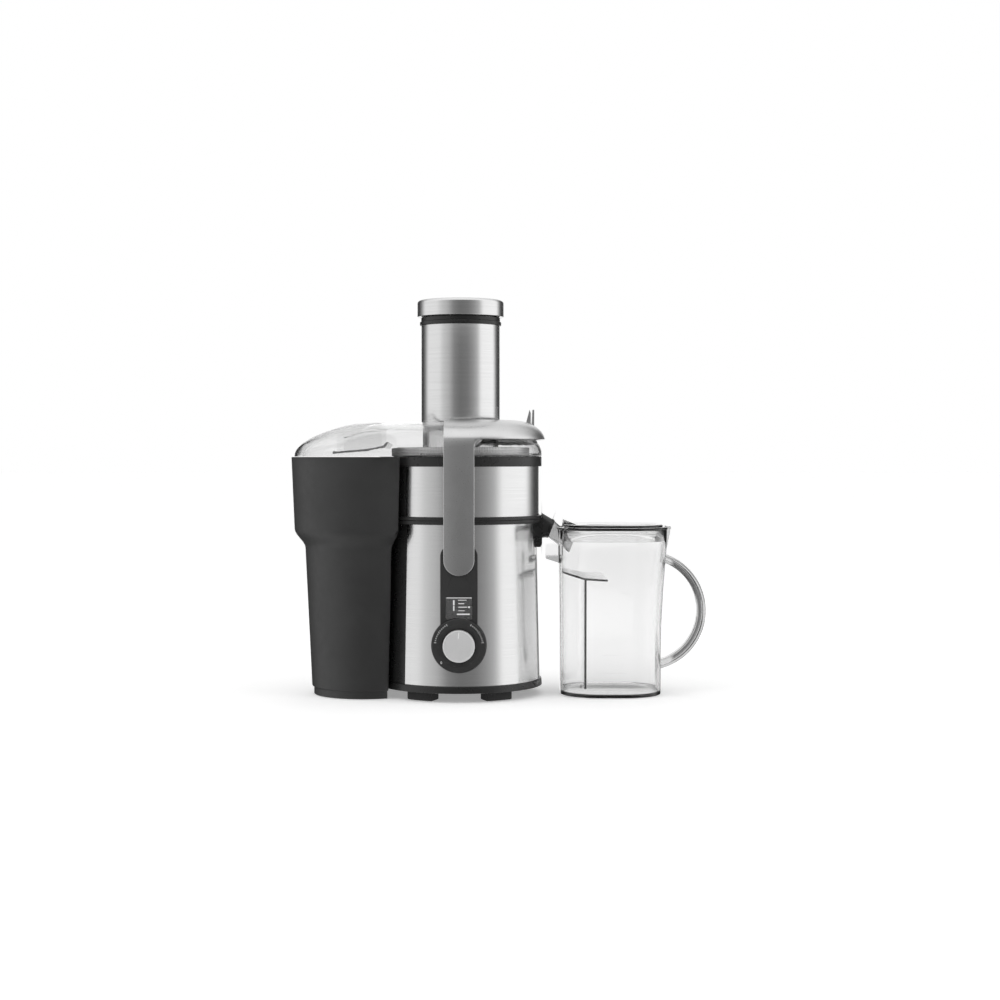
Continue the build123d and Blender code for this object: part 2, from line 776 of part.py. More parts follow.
# ---------------------------------------------------------------- pulp bin
# height, middle, half length, half depth of the bin's rounded outline
BIN_LOWER = ((9.0, -108.4, 62.5, 64.5), (170.0, -109.2, 69.2, 71.5))
BIN_UPPER = ((186.0, -109.6, 80.8, 82.8), (BIN_TOP, -110.0, 84.0, 86.0))
BIN_FOOT = (7.0, -108.4, 60.3, 62.3)


def bin_span(sections, inset, mode=Mode.ADD):
    """A tapering stretch of the bin between two outlines, moved in by inset."""
    outlines = []
    for height, middle, half_x, half_y in sections:
        with BuildSketch(level(height, middle)) as outline:
            Ellipse(half_x - inset, half_y - inset)
        outlines.append(outline.sketch)
    loft(outlines, mode=mode)


with BuildPart() as pulp_bin:
    with BuildSketch(level(0, BIN_FOOT[1])):
        Ellipse(BIN_FOOT[2], BIN_FOOT[3])
    extrude(amount=BIN_LOWER[0][0])
    bin_span(BIN_LOWER, 0)
    bin_span((BIN_LOWER[1], BIN_UPPER[0]), 0)
    bin_span(BIN_UPPER, 0)
    ring(0, BIN_TOP, BIN_GAP_R, mode=Mode.SUBTRACT)
    with BuildPart(mode=Mode.PRIVATE) as bin_space:
        bin_span(BIN_LOWER, BIN_WALL)
        bin_span((BIN_LOWER[1], BIN_UPPER[0]), BIN_WALL)
        bin_span(BIN_UPPER, BIN_WALL)
        ring(0, BIN_TOP, BIN_GAP_R + BIN_WALL, mode=Mode.SUBTRACT)
        block((-200, -100, 0), (0, 100, 10.5), mode=Mode.SUBTRACT)
    add(bin_space.part, mode=Mode.SUBTRACT)
    block((-160, -42, 0), (-104, 42, 4), radius=16, mode=Mode.SUBTRACT)
save(pulp_bin, "pulp_bin")

# ---------------------------------------------------------------- juice jug
# height, left face, right face, half depth, corner radius
JUG_SECTIONS = (
    (0.0, 114.2, 229.4, 62.0, 46.0),
    (78.0, 114.0, 229.9, 62.3, 46.0),
    (122.0, 113.4, 232.2, 63.6, 47.0),
    (165.0, 112.9, 235.6, 65.8, 48.5),
    (JUG_TOP, 112.8, 236.2, 66.2, 49.0),
)


def jug_outline(section, inset):
    """The jug's rounded outline at one height, moved in by inset."""
    height, left, right, half, corner = section
    with BuildSketch(level(height, (left + right) / 2, JUG_Y)) as outline:
        RectangleRounded(right - left - 2 * inset, 2 * (half - inset), corner - inset)
    return outline.sketch


def jug_volume(inset, mode=Mode.ADD):
    """The jug's body, moved in by inset all round."""
    loft([jug_outline(section, inset) for section in JUG_SECTIONS], mode=mode)


with BuildPart() as jug_space:
    jug_volume(JUG_WALL)
    block((100, -80, 0), (250, 90, JUG_FLOOR), mode=Mode.SUBTRACT)

# the handle is an arc, from its upper root down to its lower one
HANDLE_MIDDLE = (213.1, 94.2)
HANDLE_R = 64.0
HANDLE_START = 82.0
HANDLE_END = (
    DRIVE_X + HANDLE_MIDDLE[0] + HANDLE_R * cos(radians(HANDLE_START)),
    JUG_Y,
    HANDLE_MIDDLE[1] + HANDLE_R * sin(radians(HANDLE_START)),
)
HANDLE_WAY = (sin(radians(HANDLE_START)), 0, -cos(radians(HANDLE_START)))

with BuildPart() as jug:
    jug_volume(0)
    slab([(228, 160), (235.5, 160), (240.8, 185), (240.8, JUG_TOP), (228, JUG_TOP)], -3, 15)
    slab([(116, 149), (97.6, 155), (97.6, 171), (116, 171)], -16, 16)
    add(jug_space.part, mode=Mode.SUBTRACT)
    block((90, -NOTCH_HALF, 157.5), (125, NOTCH_HALF, 200), mode=Mode.SUBTRACT)
save(jug, "jug")

with BuildPart() as jug_handle:
    with BuildLine(upright(JUG_Y)):
        CenterArc(HANDLE_MIDDLE, HANDLE_R, HANDLE_START, -2 * HANDLE_START)
    with BuildSketch(Plane(origin=HANDLE_END, x_dir=(0, 1, 0), z_dir=HANDLE_WAY)):
        RectangleRounded(20, 10, 3.5)
    sweep()
    jug_volume(0, Mode.SUBTRACT)
save(jug_handle, "jug_handle")

with BuildPart() as froth_separator:
    slab([(140.4, 10), (142.8, 10), (142.8, 133), (140.4, 133)], -60, 72)
    slab(
        [
            (110, 141),
            (128, 136.2),
            (141, 132.6),
            (166, 131.4),
            (166, 133.6),
            (141, 135),
            (128, 138.5),
            (110, 143),
        ],
        -60,
        72,
    )
    jug_volume(JUG_WALL + 0.5, Mode.INTERSECT)
save(froth_separator, "froth_separator")

LID_SKIRT_BOTTOM = 175.0

with BuildPart() as jug_lid:
    rim = JUG_SECTIONS[-1][1:]
    skirt_height = JUG_TOP + 0.2 - LID_SKIRT_BOTTOM
    extrude(jug_outline((JUG_TOP + 0.2, *rim), -0.6), amount=3)
    extrude(jug_outline((JUG_TOP + 3.2, *rim), 5), amount=2.6)
    extrude(jug_outline((LID_SKIRT_BOTTOM, *rim), JUG_WALL + 1.0), amount=skirt_height)
    skirt_space = jug_outline((LID_SKIRT_BOTTOM, *rim), JUG_WALL + 2.8)
    extrude(skirt_space, amount=skirt_height, mode=Mode.SUBTRACT)
    block((230, JUG_Y - 13, JUG_TOP + 0.2), (241.4, JUG_Y + 13, JUG_TOP + 3.2), radius=3)
    slab([(117.5, 189), (117.5, 199.7), (133, 193.6), (133, 189)], -16.5, 16.5)
    hood_space = [(100, 170), (100, 204.7), (117.5, 197.6), (131.6, 192), (131.6, 170)]
    slab(hood_space, -NOTCH_HALF - 0.4, NOTCH_HALF + 0.4, mode=Mode.SUBTRACT)
save(jug_lid, "jug_lid")
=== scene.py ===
# %% [markdown]
# # A centrifugal juicer
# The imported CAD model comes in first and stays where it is. Each lesson below then takes one
# finish or one piece of the machine, says what it is on the real object, and makes it.

# %% The frame
import json
from math import cos, pi, radians, sin

import bpy
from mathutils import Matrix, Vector


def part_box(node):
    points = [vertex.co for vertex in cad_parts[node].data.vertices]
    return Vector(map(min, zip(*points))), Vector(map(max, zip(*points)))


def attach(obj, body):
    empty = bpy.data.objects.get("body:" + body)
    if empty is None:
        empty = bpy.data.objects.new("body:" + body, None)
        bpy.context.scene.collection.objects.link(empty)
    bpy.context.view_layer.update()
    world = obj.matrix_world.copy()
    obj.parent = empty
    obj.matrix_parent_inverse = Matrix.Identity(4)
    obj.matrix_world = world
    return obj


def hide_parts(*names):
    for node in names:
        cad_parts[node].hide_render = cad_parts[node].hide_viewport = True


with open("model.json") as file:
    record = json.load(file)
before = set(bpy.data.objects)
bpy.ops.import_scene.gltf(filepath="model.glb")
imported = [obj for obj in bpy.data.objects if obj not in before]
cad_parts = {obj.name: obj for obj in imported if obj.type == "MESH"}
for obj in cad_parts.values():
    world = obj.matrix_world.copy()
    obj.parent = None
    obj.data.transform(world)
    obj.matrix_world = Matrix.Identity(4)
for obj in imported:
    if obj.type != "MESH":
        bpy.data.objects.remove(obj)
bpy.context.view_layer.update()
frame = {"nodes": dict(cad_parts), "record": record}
NODES = frame["nodes"]
MM = 0.001

low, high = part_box("feed_tube_sleeve")
AXIS_X = (low[0] + high[0]) / 2
print("drive axis at", round(AXIS_X, 4))

# %% [markdown]
# ## Camera
# The machine is seen from the front, a little above its middle, from about two metres away
# through a short telephoto lens. The camera is tipped down slightly rather than shifted.

# %% Camera
CAMERA_RIGHT = AXIS_X + 0.0452
CAMERA_BACK = 2.047
CAMERA_HEIGHT = 0.271
CAMERA_TIP = radians(1.384)

camera_data = bpy.data.cameras.new("camera")
camera_data.lens = 64.08
camera_data.sensor_width = 36.0
camera = bpy.data.objects.new("camera", camera_data)
camera.location = (CAMERA_RIGHT, -CAMERA_BACK, CAMERA_HEIGHT)
camera.rotation_euler = (pi / 2 - CAMERA_TIP, 0, 0)
bpy.context.scene.collection.objects.link(camera)
bpy.context.scene.camera = camera
bpy.context.scene.view_settings.view_transform = "Standard"

# %% [markdown]
# ## Studio
# Polished metal shows the room more than itself, so the room is part of the finish. It is a
# white tent with dark cards: the sky's brightness changes with compass direction, and only
# what is seen past the machine is plain white. A turned steel cylinder squeezes that whole
# circle into upright bands.

# %% Sky
# compass direction in degrees, 0 towards the viewer and + to the right, and brightness there
SKY_BANDS = (
    (-180, 1.0),
    (-167, 1.0),
    (-163, 0.04),
    (-138, 0.06),
    (-124, 0.28),
    (-108, 0.9),
    (-64, 0.88),
    (-52, 0.66),
    (-33, 0.5),
    (-18, 0.24),
    (0, 0.17),
    (22, 0.2),
    (38, 0.32),
    (52, 0.5),
    (64, 1.05),
    (112, 1.1),
    (128, 0.2),
    (138, 0.06),
    (163, 0.06),
    (167, 1.0),
    (180, 1.0),
)
ROOF_START = 0.3  # sine of the height where the tent's walls begin to turn into its roof
ROOF_END = 0.65  # and of the height where they have
ROOF_FRONT = 1.0  # brightness of the roof over the viewer, and behind the machine
ROOF_BACK = 0.8
ROOF_TURN = (-0.1, 0.5)  # how far back the roof passes from one brightness to the other
FLOOR_LIGHT = 0.86  # the tent's strength for what it lights; it is 1 for what it shows


def add_node(tree, kind, **settings):
    """A new shader node with its settings."""
    node = tree.nodes.new(kind)
    for name, value in settings.items():
        setattr(node, name, value)
    return node


def worked(tree, operation, *values):
    """The result of a math node; each value is a socket or a number."""
    node = add_node(tree, "ShaderNodeMath", operation=operation)
    for socket, value in zip(node.inputs, values):
        if isinstance(value, (int, float)):
            socket.default_value = value
        else:
            tree.links.new(value, socket)
    return node.outputs[0]


def mapped(tree, value, start, end, low_value=0.0, high_value=1.0):
    """A socket's value, moved from one range to another and held inside it."""
    node = add_node(tree, "ShaderNodeMapRange")
    node.inputs["From Min"].default_value = start
    node.inputs["From Max"].default_value = end
    node.inputs["To Min"].default_value = low_value
    node.inputs["To Max"].default_value = high_value
    tree.links.new(value, node.inputs["Value"])
    return node.outputs[0]


def place_in(tree, coordinates):
    """The three parts of a kind of texture coordinate, as sockets named X, Y and Z."""
    where = add_node(tree, "ShaderNodeTexCoord")
    split = add_node(tree, "ShaderNodeSeparateXYZ")
    tree.links.new(where.outputs[coordinates], split.inputs[0])
    return split.outputs


def build_sky():
    """A white tent that shows the machine a ring of softboxes and dark cards."""
    world = bpy.data.worlds.new("studio")
    bpy.context.scene.world = world
    world.use_nodes = True
    tree = world.node_tree
    link = tree.links.new
    background = tree.nodes["Background"]
    way = place_in(tree, "Generated")
    compass = worked(tree, "ARCTAN2", way["X"], worked(tree, "MULTIPLY", way["Y"], -1.0))
    bands = add_node(tree, "ShaderNodeValToRGB")
    ramp = bands.color_ramp
    while len(ramp.elements) < len(SKY_BANDS):
        ramp.elements.new(0.5)
    for element, (direction, value) in zip(ramp.elements, SKY_BANDS):
        element.position = (direction + 180) / 360
        element.color = (value, value, value, 1)
    link(mapped(tree, compass, -pi, pi), bands.inputs["Fac"])
    tent = add_node(tree, "ShaderNodeMix", data_type="RGBA")
    link(mapped(tree, way["Y"], *ROOF_TURN, ROOF_FRONT, ROOF_BACK), tent.inputs["B"])
    link(mapped(tree, way["Z"], ROOF_START, ROOF_END), tent.inputs["Factor"])
    link(bands.outputs["Color"], tent.inputs["A"])
    rays = add_node(tree, "ShaderNodeLightPath")
    mix = add_node(tree, "ShaderNodeMix", data_type="RGBA")
    mix.inputs["B"].default_value = (1, 1, 1, 1)
    link(rays.outputs["Is Camera Ray"], mix.inputs["Factor"])
    link(tent.outputs["Result"], mix.inputs["A"])
    link(mix.outputs["Result"], background.inputs["Color"])
    power = mapped(tree, rays.outputs["Is Diffuse Ray"], 0.0, 1.0, 1.0, FLOOR_LIGHT)
    link(power, background.inputs["Strength"])


build_sky()


# %% [markdown]
# ## Floor and lamps
# The floor is a wide white sheet that the metal doesn't mirror. Soft lamps from above give the
# faint shadows that stand the machine on it.


# %% Floor and lamps
FLOOR_WIDE = 60.0
FLOOR_DROP = 0.0005  # the floor lies a hair under the feet, so that no faces coincide
FLOOR_GLOW = 0.3  # keeps the far floor as white as the sky behind it
LAMP_TARGET = Vector((0, 0, 0.2))


def surface(name, colour, roughness, metallic=0.0):
    """A new material with its even values on the shader's own sockets."""
    material = bpy.data.materials.new(name)
    material.use_nodes = True
    shader = material.node_tree.nodes["Principled BSDF"]
    shader.inputs["Base Color"].default_value = (*colour, 1)
    shader.inputs["Roughness"].default_value = roughness
    shader.inputs["Metallic"].default_value = metallic
    return material


def lamp(name, place, size, power):
    """A square soft lamp that faces the middle of the machine and isn't mirrored in it."""
    data = bpy.data.lights.new(name, "AREA")
    data.size = size
    data.energy = power
    piece = bpy.data.objects.new(name, data)
    piece.location = place
    piece.visible_glossy = False
    aim = LAMP_TARGET - Vector(place)
    piece.rotation_euler = aim.to_track_quat("-Z", "Y").to_euler()
    bpy.context.scene.collection.objects.link(piece)


bpy.ops.object.select_all(action="DESELECT")
bpy.ops.mesh.primitive_plane_add(size=FLOOR_WIDE, location=(0, 0, -FLOOR_DROP))
floor = bpy.context.object
floor.name = "floor"
white_floor = surface("white_floor", (0.95, 0.95, 0.95), 1.0)
floor_shader = white_floor.node_tree.nodes["Principled BSDF"]
floor_shader.inputs["Specular IOR Level"].default_value = 0.0
floor_shader.inputs["Emission Color"].default_value = (1, 1, 1, 1)
floor_shader.inputs["Emission Strength"].default_value = FLOOR_GLOW
floor.data.materials.append(white_floor)
floor.visible_glossy = False

lamp("key_lamp", (-1.1, -0.9, 1.6), 0.8, 4)
lamp("fill_lamp", (1.3, -0.8, 1.3), 0.8, 2)
lamp("back_lamp", (0.1, 1.2, 1.5), 0.9, 2)


# %% [markdown]
# ## Finishes
# Every finish starts from the same shader. A helper then adds what makes it itself: a fine
# grain that lifts the surface, or a slow change of gloss or colour. All of them read Object
# coordinates, in metres, so a grain has the same size on every piece.


# %% Finish helpers
NOISE_RANGE = (0.3, 0.7)  # nearly all of a noise lies between these


def pattern(material, scale, stretch=(1, 1, 1), detail=2.0):
    """A noise in Object coordinates; gives its socket. scale is grains to the metre."""
    tree = material.node_tree
    where = add_node(tree, "ShaderNodeTexCoord")
    mapping = add_node(tree, "ShaderNodeMapping")
    mapping.inputs["Scale"].default_value = stretch
    noise = add_node(tree, "ShaderNodeTexNoise")
    noise.inputs["Scale"].default_value = scale
    noise.inputs["Detail"].default_value = detail
    tree.links.new(where.outputs["Object"], mapping.inputs["Vector"])
    tree.links.new(mapping.outputs["Vector"], noise.inputs["Vector"])
    return noise.outputs["Fac"]


def raised(material, height, strength, depth):
    """Turn a pattern into relief: depth in metres."""
    tree = material.node_tree
    bump = add_node(tree, "ShaderNodeBump")
    bump.inputs["Strength"].default_value = strength
    bump.inputs["Distance"].default_value = depth
    tree.links.new(height, bump.inputs["Height"])
    tree.links.new(bump.outputs["Normal"], tree.nodes["Principled BSDF"].inputs["Normal"])


def varied_gloss(material, amount, low_value, high_value):
    """Let the roughness wander between two values with a pattern."""
    tree = material.node_tree
    gloss = mapped(tree, amount, *NOISE_RANGE, low_value, high_value)
    tree.links.new(gloss, tree.nodes["Principled BSDF"].inputs["Roughness"])


def varied_colour(material, amount, first, second):
    """Let the colour wander between two shades with a pattern."""
    tree = material.node_tree
    ramp = add_node(tree, "ShaderNodeValToRGB")
    for element, position, colour in zip(ramp.color_ramp.elements, NOISE_RANGE, (first, second)):
        element.position = position
        element.color = (*colour, 1)
    tree.links.new(amount, ramp.inputs["Fac"])
    tree.links.new(ramp.outputs["Color"], tree.nodes["Principled BSDF"].inputs["Base Color"])


def grey(value):
    """A neutral shade."""
    return (value, value, value)


# %% [markdown]
# ## Steel
# The two wraps, the tube's sleeve and the pusher's cap are stainless sheet, brushed around the
# body. The strokes are far finer than they are long, so the noise is stretched: many grains to
# the metre upwards and few sideways. The arm is the same steel with a finer, satin grain. The
# knob is blasted aluminium, half mirror and half matt. The filter is a screen of fine steel with
# even rows of holes, too small and too many to cut, so they are in its finish. The grater disc
# shares that finish.

# %% Steel
brushed_steel = surface("brushed_steel", grey(0.8), 0.2, 1.0)
strokes = pattern(brushed_steel, 40, (1, 1, 150), 3.0)
varied_gloss(brushed_steel, strokes, 0.13, 0.25)
varied_colour(brushed_steel, pattern(brushed_steel, 12, (1, 1, 120)), grey(0.77), grey(0.83))
raised(brushed_steel, strokes, 0.1, 0.000015)

satin_metal = surface("satin_metal", grey(0.74), 0.3, 1.0)
varied_gloss(satin_metal, pattern(satin_metal, 700), 0.27, 0.34)
varied_colour(satin_metal, pattern(satin_metal, 45), grey(0.71), grey(0.77))
raised(satin_metal, pattern(satin_metal, 1800), 0.03, 0.00001)

spun_metal = surface("spun_metal", grey(0.9), 0.36, 0.55)
varied_gloss(spun_metal, pattern(spun_metal, 300), 0.36, 0.46)

fine_steel = surface("fine_steel", grey(0.62), 0.32, 1.0)
varied_gloss(fine_steel, pattern(fine_steel, 120), 0.28, 0.38)


def perforated(material, radius, pitch, hole, inside, between):
    """Even rows of small dark holes around the drive axis, as on a filter screen."""
    tree = material.node_tree
    link = tree.links.new
    at = place_in(tree, "Object")
    turn = worked(tree, "ARCTAN2", at["Y"], worked(tree, "SUBTRACT", at["X"], AXIS_X))
    sheet = add_node(tree, "ShaderNodeCombineXYZ")
    link(worked(tree, "MULTIPLY", turn, radius), sheet.inputs["X"])
    link(at["Z"], sheet.inputs["Y"])
    rows = add_node(tree, "ShaderNodeTexVoronoi", voronoi_dimensions="2D")
    rows.inputs["Scale"].default_value = 1 / pitch
    rows.inputs["Randomness"].default_value = 0.0
    link(sheet.outputs[0], rows.inputs["Vector"])
    edge = add_node(tree, "ShaderNodeValToRGB")
    edge.color_ramp.elements[0].position = hole
    edge.color_ramp.elements[0].color = (*inside, 1)
    edge.color_ramp.elements[1].position = hole + HOLE_SOFTNESS
    edge.color_ramp.elements[1].color = (*between, 1)
    link(rows.outputs["Distance"], edge.inputs["Fac"])
    link(edge.outputs["Color"], tree.nodes["Principled BSDF"].inputs["Base Color"])


SCREEN_RADIUS = 66 * MM  # halfway up the basket's slanted screen
HOLE_PITCH = 1.6 * MM
HOLE_SIZE = 0.24  # a hole's radius as a share of the pitch
HOLE_SOFTNESS = 0.06
perforated(fine_steel, SCREEN_RADIUS, HOLE_PITCH, HOLE_SIZE, grey(0.1), grey(0.7))

# %% [markdown]
# ## Plastics and rubber
# The base, bands and spout are black moulded plastic with a low sheen. The bin and the panel
# are charcoal with a spark-eroded texture, which scatters light into a soft grey.

# %% Plastics and rubber
black_plastic = surface("black_plastic", grey(0.016), 0.3)
varied_gloss(black_plastic, pattern(black_plastic, 90), 0.24, 0.34)
raised(black_plastic, pattern(black_plastic, 2200), 0.06, 0.00003)

charcoal_plastic = surface("charcoal_plastic", grey(0.03), 0.46)
varied_gloss(charcoal_plastic, pattern(charcoal_plastic, 120), 0.4, 0.5)
varied_colour(charcoal_plastic, pattern(charcoal_plastic, 25), grey(0.027), grey(0.033))
raised(charcoal_plastic, pattern(charcoal_plastic, 2600, detail=4.0), 0.2, 0.00004)

black_rubber = surface("black_rubber", grey(0.02), 0.7)
raised(black_rubber, pattern(black_rubber, 1500), 0.2, 0.00004)

grey_rubber = surface("grey_rubber", grey(0.16), 0.55)
raised(grey_rubber, pattern(grey_rubber, 1500), 0.15, 0.00004)


# %% [markdown]
# ## Clear plastic
# The lid, tube and jug are clear moulded plastic. The shader lets light through and bends it
# as the real wall does. A faint absorption inside darkens what is seen along a wall, which is
# why clear mouldings have grey outlines. The jug's handle is a solid bar, and the room that it
# bends into view is dark along its middle, so a painted shade darkens its base colour there in
# place of that dark view. The spout's tip is smoky.


# %% Clear plastic
def clear(name, tint, density, low_gloss=0.005, high_gloss=0.03):
    """A see-through moulded plastic that absorbs a little light inside its walls."""
    material = surface(name, grey(tint), low_gloss)
    tree = material.node_tree
    shader = tree.nodes["Principled BSDF"]
    shader.inputs["Transmission Weight"].default_value = 1.0
    shader.inputs["IOR"].default_value = 1.45
    varied_gloss(material, pattern(material, 40), low_gloss, high_gloss)
    inside = add_node(tree, "ShaderNodeVolumeAbsorption")
    inside.inputs["Color"].default_value = (0.2, 0.2, 0.2, 1)
    inside.inputs["Density"].default_value = density
    tree.links.new(inside.outputs[0], tree.nodes["Material Output"].inputs["Volume"])
    return material


def paint_handle_shade(material, tint, painted_shade_tint):
    """Paint a shade into a clear finish along the middle of the jug handle's bar, for the dark room
    it bends into view.
    """
    tree = material.node_tree
    link = tree.links.new
    at = place_in(tree, "Object")
    flat = add_node(tree, "ShaderNodeCombineXYZ")
    link(at["X"], flat.inputs["X"])
    link(at["Z"], flat.inputs["Z"])
    away = add_node(tree, "ShaderNodeVectorMath", operation="DISTANCE")
    away.inputs[1].default_value = (AXIS_X + HANDLE_X * MM, 0, HANDLE_Z * MM)
    link(flat.outputs[0], away.inputs[0])
    offset = worked(tree, "SUBTRACT", away.outputs["Value"], PAINTED_SHADE_R * MM)
    bar = mapped(tree, worked(tree, "ABSOLUTE", offset), PAINTED_SHADE_EDGE * MM, PAINTED_SHADE_CORE * MM)
    start = AXIS_X + PAINTED_SHADE_START * MM
    beyond = mapped(tree, at["X"], start, start + PAINTED_SHADE_RISE * MM)
    # painted shade: the bar's middle gets a darker base colour in place of the dark room seen
    # through it
    shade = add_node(tree, "ShaderNodeMix", data_type="RGBA")
    shade.inputs["A"].default_value = (*grey(tint), 1)
    shade.inputs["B"].default_value = (*grey(painted_shade_tint), 1)
    link(worked(tree, "MULTIPLY", bar, beyond), shade.inputs["Factor"])
    link(shade.outputs["Result"], tree.nodes["Principled BSDF"].inputs["Base Color"])


HANDLE_X = 213.1  # the middle of the jug handle's arc, in mm from the drive axis
HANDLE_Z = 94.2
# these place the painted shade band in the handle's clear colour
PAINTED_SHADE_R = 62.5  # the dark line's distance from there
PAINTED_SHADE_EDGE = 3.6  # how far from the line its shade begins, and where it is full
PAINTED_SHADE_CORE = 1.44
PAINTED_SHADE_START = 242.0  # the shade fades in over a short way to the right of the jug's wall
PAINTED_SHADE_RISE = 4.0
CLEAR_TINT = 0.985
clear_plastic = clear("clear_plastic", CLEAR_TINT, 32)
# painted shade: the handle's middle is darkened towards 0.22 in the clear plastic's colour
paint_handle_shade(clear_plastic, CLEAR_TINT, 0.22)
smoke_plastic = clear("smoke_plastic", 0.94, 14, 0.03, 0.08)
smoky_clear = clear("smoky_clear", 0.7, 90, 0.03, 0.08)
display_glass = clear("display_glass", 0.9, 10)

# %% [markdown]
# ## Small finishes
# The inner pieces are seen only when the machine is opened, but each has its own finish.

# %% Small finishes
zinc_steel = surface("zinc_steel", grey(0.6), 0.35, 1.0)
varied_gloss(zinc_steel, pattern(zinc_steel, 400), 0.3, 0.45)
bearing_steel = surface("bearing_steel", grey(0.75), 0.15, 1.0)
varied_gloss(bearing_steel, pattern(bearing_steel, 500), 0.1, 0.2)
core_steel = surface("core_steel", grey(0.3), 0.5, 1.0)
raised(core_steel, pattern(core_steel, 40, (1, 1, 60)), 0.4, 0.0001)
cast_alloy = surface("cast_alloy", grey(0.5), 0.5, 1.0)
raised(cast_alloy, pattern(cast_alloy, 1200), 0.3, 0.00005)
copper = surface("copper", (0.6, 0.25, 0.12), 0.35, 1.0)
varied_colour(copper, pattern(copper, 300), (0.5, 0.2, 0.09), (0.66, 0.3, 0.15))
brass = surface("brass", (0.7, 0.5, 0.22), 0.3, 1.0)
varied_gloss(brass, pattern(brass, 300), 0.25, 0.4)
carbon = surface("carbon", grey(0.02), 0.6)
varied_gloss(carbon, pattern(carbon, 600), 0.5, 0.7)
circuit_board = surface("circuit_board", (0.02, 0.12, 0.05), 0.35)
varied_colour(circuit_board, pattern(circuit_board, 250), (0.015, 0.1, 0.04), (0.03, 0.15, 0.06))
display = surface("display", grey(0.06), 0.3)
varied_colour(display, pattern(display, 60), grey(0.05), grey(0.075))
white_mark = surface("white_mark", grey(0.85), 0.4)
varied_gloss(white_mark, pattern(white_mark, 200), 0.35, 0.5)

FINISHES = {
    "brushed_steel": brushed_steel,
    "satin_metal": satin_metal,
    "fine_steel": fine_steel,
    "black_plastic": black_plastic,
    "charcoal_plastic": charcoal_plastic,
    "black_rubber": black_rubber,
    "grey_rubber": grey_rubber,
    "clear_plastic": clear_plastic,
    "smoke_plastic": smoke_plastic,
    "zinc_steel": zinc_steel,
    "bearing_steel": bearing_steel,
    "core_steel": core_steel,
    "cast_alloy": cast_alloy,
    "copper": copper,
    "brass": brass,
    "carbon": carbon,
    "circuit_board": circuit_board,
    "display": display,
    "display_glass": display_glass,
    "spun_metal": spun_metal,
    "white_mark": white_mark,
}

# %% [markdown]
# ## Dressing the CAD pieces
# The record says which finish each CAD piece has, so one loop dresses them all. A moulded or
# pressed piece has no knife edge: a narrow bevel on the outer ones catches the light. The
# spout's tip is the one clear piece that is smoky.

# %% Dressing the CAD pieces
for part in frame["record"]["subparts"]:
    mesh = NODES[part["node"]].data
    mesh.materials.clear()
    mesh.materials.append(FINISHES[part["material_slot"]])
NODES["spout_tip"].data.materials[0] = smoky_clear
print("dressed", len(NODES), "pieces")

WELD = 0.000002
EDGE_ANGLE = 38  # edges sharper than this are rounded
EDGES = {
    "top_deck": 0.5,
    "juice_bowl": 0.5,
    "bottom_cover": 0.7,
    "rubber_feet": 0.8,
    "spout": 0.6,
    "spout_cradle": 0.6,
    "arm_thumb_tab": 0.4,
    "cord_gland": 0.5,
    "rear_pivot_plate": 0.6,
    "froth_separator": 0.3,
}


def soften(node, width):
    """Round the edges of a CAD piece with live modifiers."""
    piece = NODES[node]
    weld = piece.modifiers.new("weld", "WELD")
    weld.merge_threshold = WELD
    edge = piece.modifiers.new("edges", "BEVEL")
    edge.width = width * MM
    edge.segments = 2
    edge.angle_limit = radians(EDGE_ANGLE)
    edge.use_clamp_overlap = False
    piece.modifiers.new("even", "WEIGHTED_NORMAL")


for node, width in EDGES.items():
    soften(node, width)

# %% [markdown]
# ## Making pieces
# New pieces start from one primitive, are pulled into shape in edit mode, and have their place
# left in the mesh. These helpers draw a chain of edges, spin it, and hand a piece over.


# %% Shaping helpers
def spot(x, y, z):
    """A place in metres from millimetres, with x measured from the drive axis."""
    return Vector((AXIS_X + x * MM, y * MM, z * MM))


def choose(*pieces):
    """Select these pieces alone, with the first of them active."""
    bpy.ops.object.select_all(action="DESELECT")
    for piece in pieces:
        piece.select_set(True)
    bpy.context.view_layer.objects.active = pieces[0]


def begin(name, add, place, scale=(1, 1, 1), turn=(0, 0, 0), **settings):
    """Add a primitive at its place and size, and open it with all of it selected."""
    bpy.ops.object.select_all(action="DESELECT")
    add(location=place, rotation=turn, **settings)
    piece = bpy.context.object
    piece.name = name
    piece.scale = scale
    bpy.ops.object.transform_apply(location=True, rotation=True, scale=True)
    bpy.ops.object.mode_set(mode="EDIT")
    bpy.ops.mesh.select_mode(type="VERT")
    bpy.ops.mesh.select_all(action="SELECT")
    return piece


def pull(move, stretch=None, centre=None):
    """Extrude what is selected, and stretch the new ring about a centre if asked."""
    bpy.ops.mesh.extrude_region_move(TRANSFORM_OT_translate={"value": move})
    if stretch:
        bpy.ops.transform.resize(value=stretch, center_override=centre)


def pick(piece, test):
    """Select the vertices whose places pass the test, and what lies between them."""
    bpy.ops.object.mode_set(mode="OBJECT")
    for face in piece.data.polygons:
        face.select = False
    for edge in piece.data.edges:
        edge.select = False
    for vertex in piece.data.vertices:
        vertex.select = test(vertex.co)
    bpy.ops.object.mode_set(mode="EDIT")
    bpy.ops.mesh.select_mode(type="VERT")


def chain(name, places):
    """One point, pulled on step by step into a chain of edges."""
    piece = begin(name, bpy.ops.mesh.primitive_plane_add, places[0], (MM, MM, MM))
    bpy.ops.mesh.merge(type="CENTER")
    for here, there in zip(places, places[1:]):
        pull(Vector(there) - Vector(here))
    return piece


def merge():
    """Select everything and merge what coincides."""
    bpy.ops.mesh.select_all(action="SELECT")
    bpy.ops.mesh.remove_doubles(threshold=WELD)


def heal():
    """Merge what coincides and turn every face outwards."""
    merge()
    bpy.ops.mesh.normals_make_consistent(inside=False)


def close():
    """Heal the open piece and leave edit mode."""
    heal()
    bpy.ops.object.mode_set(mode="OBJECT")


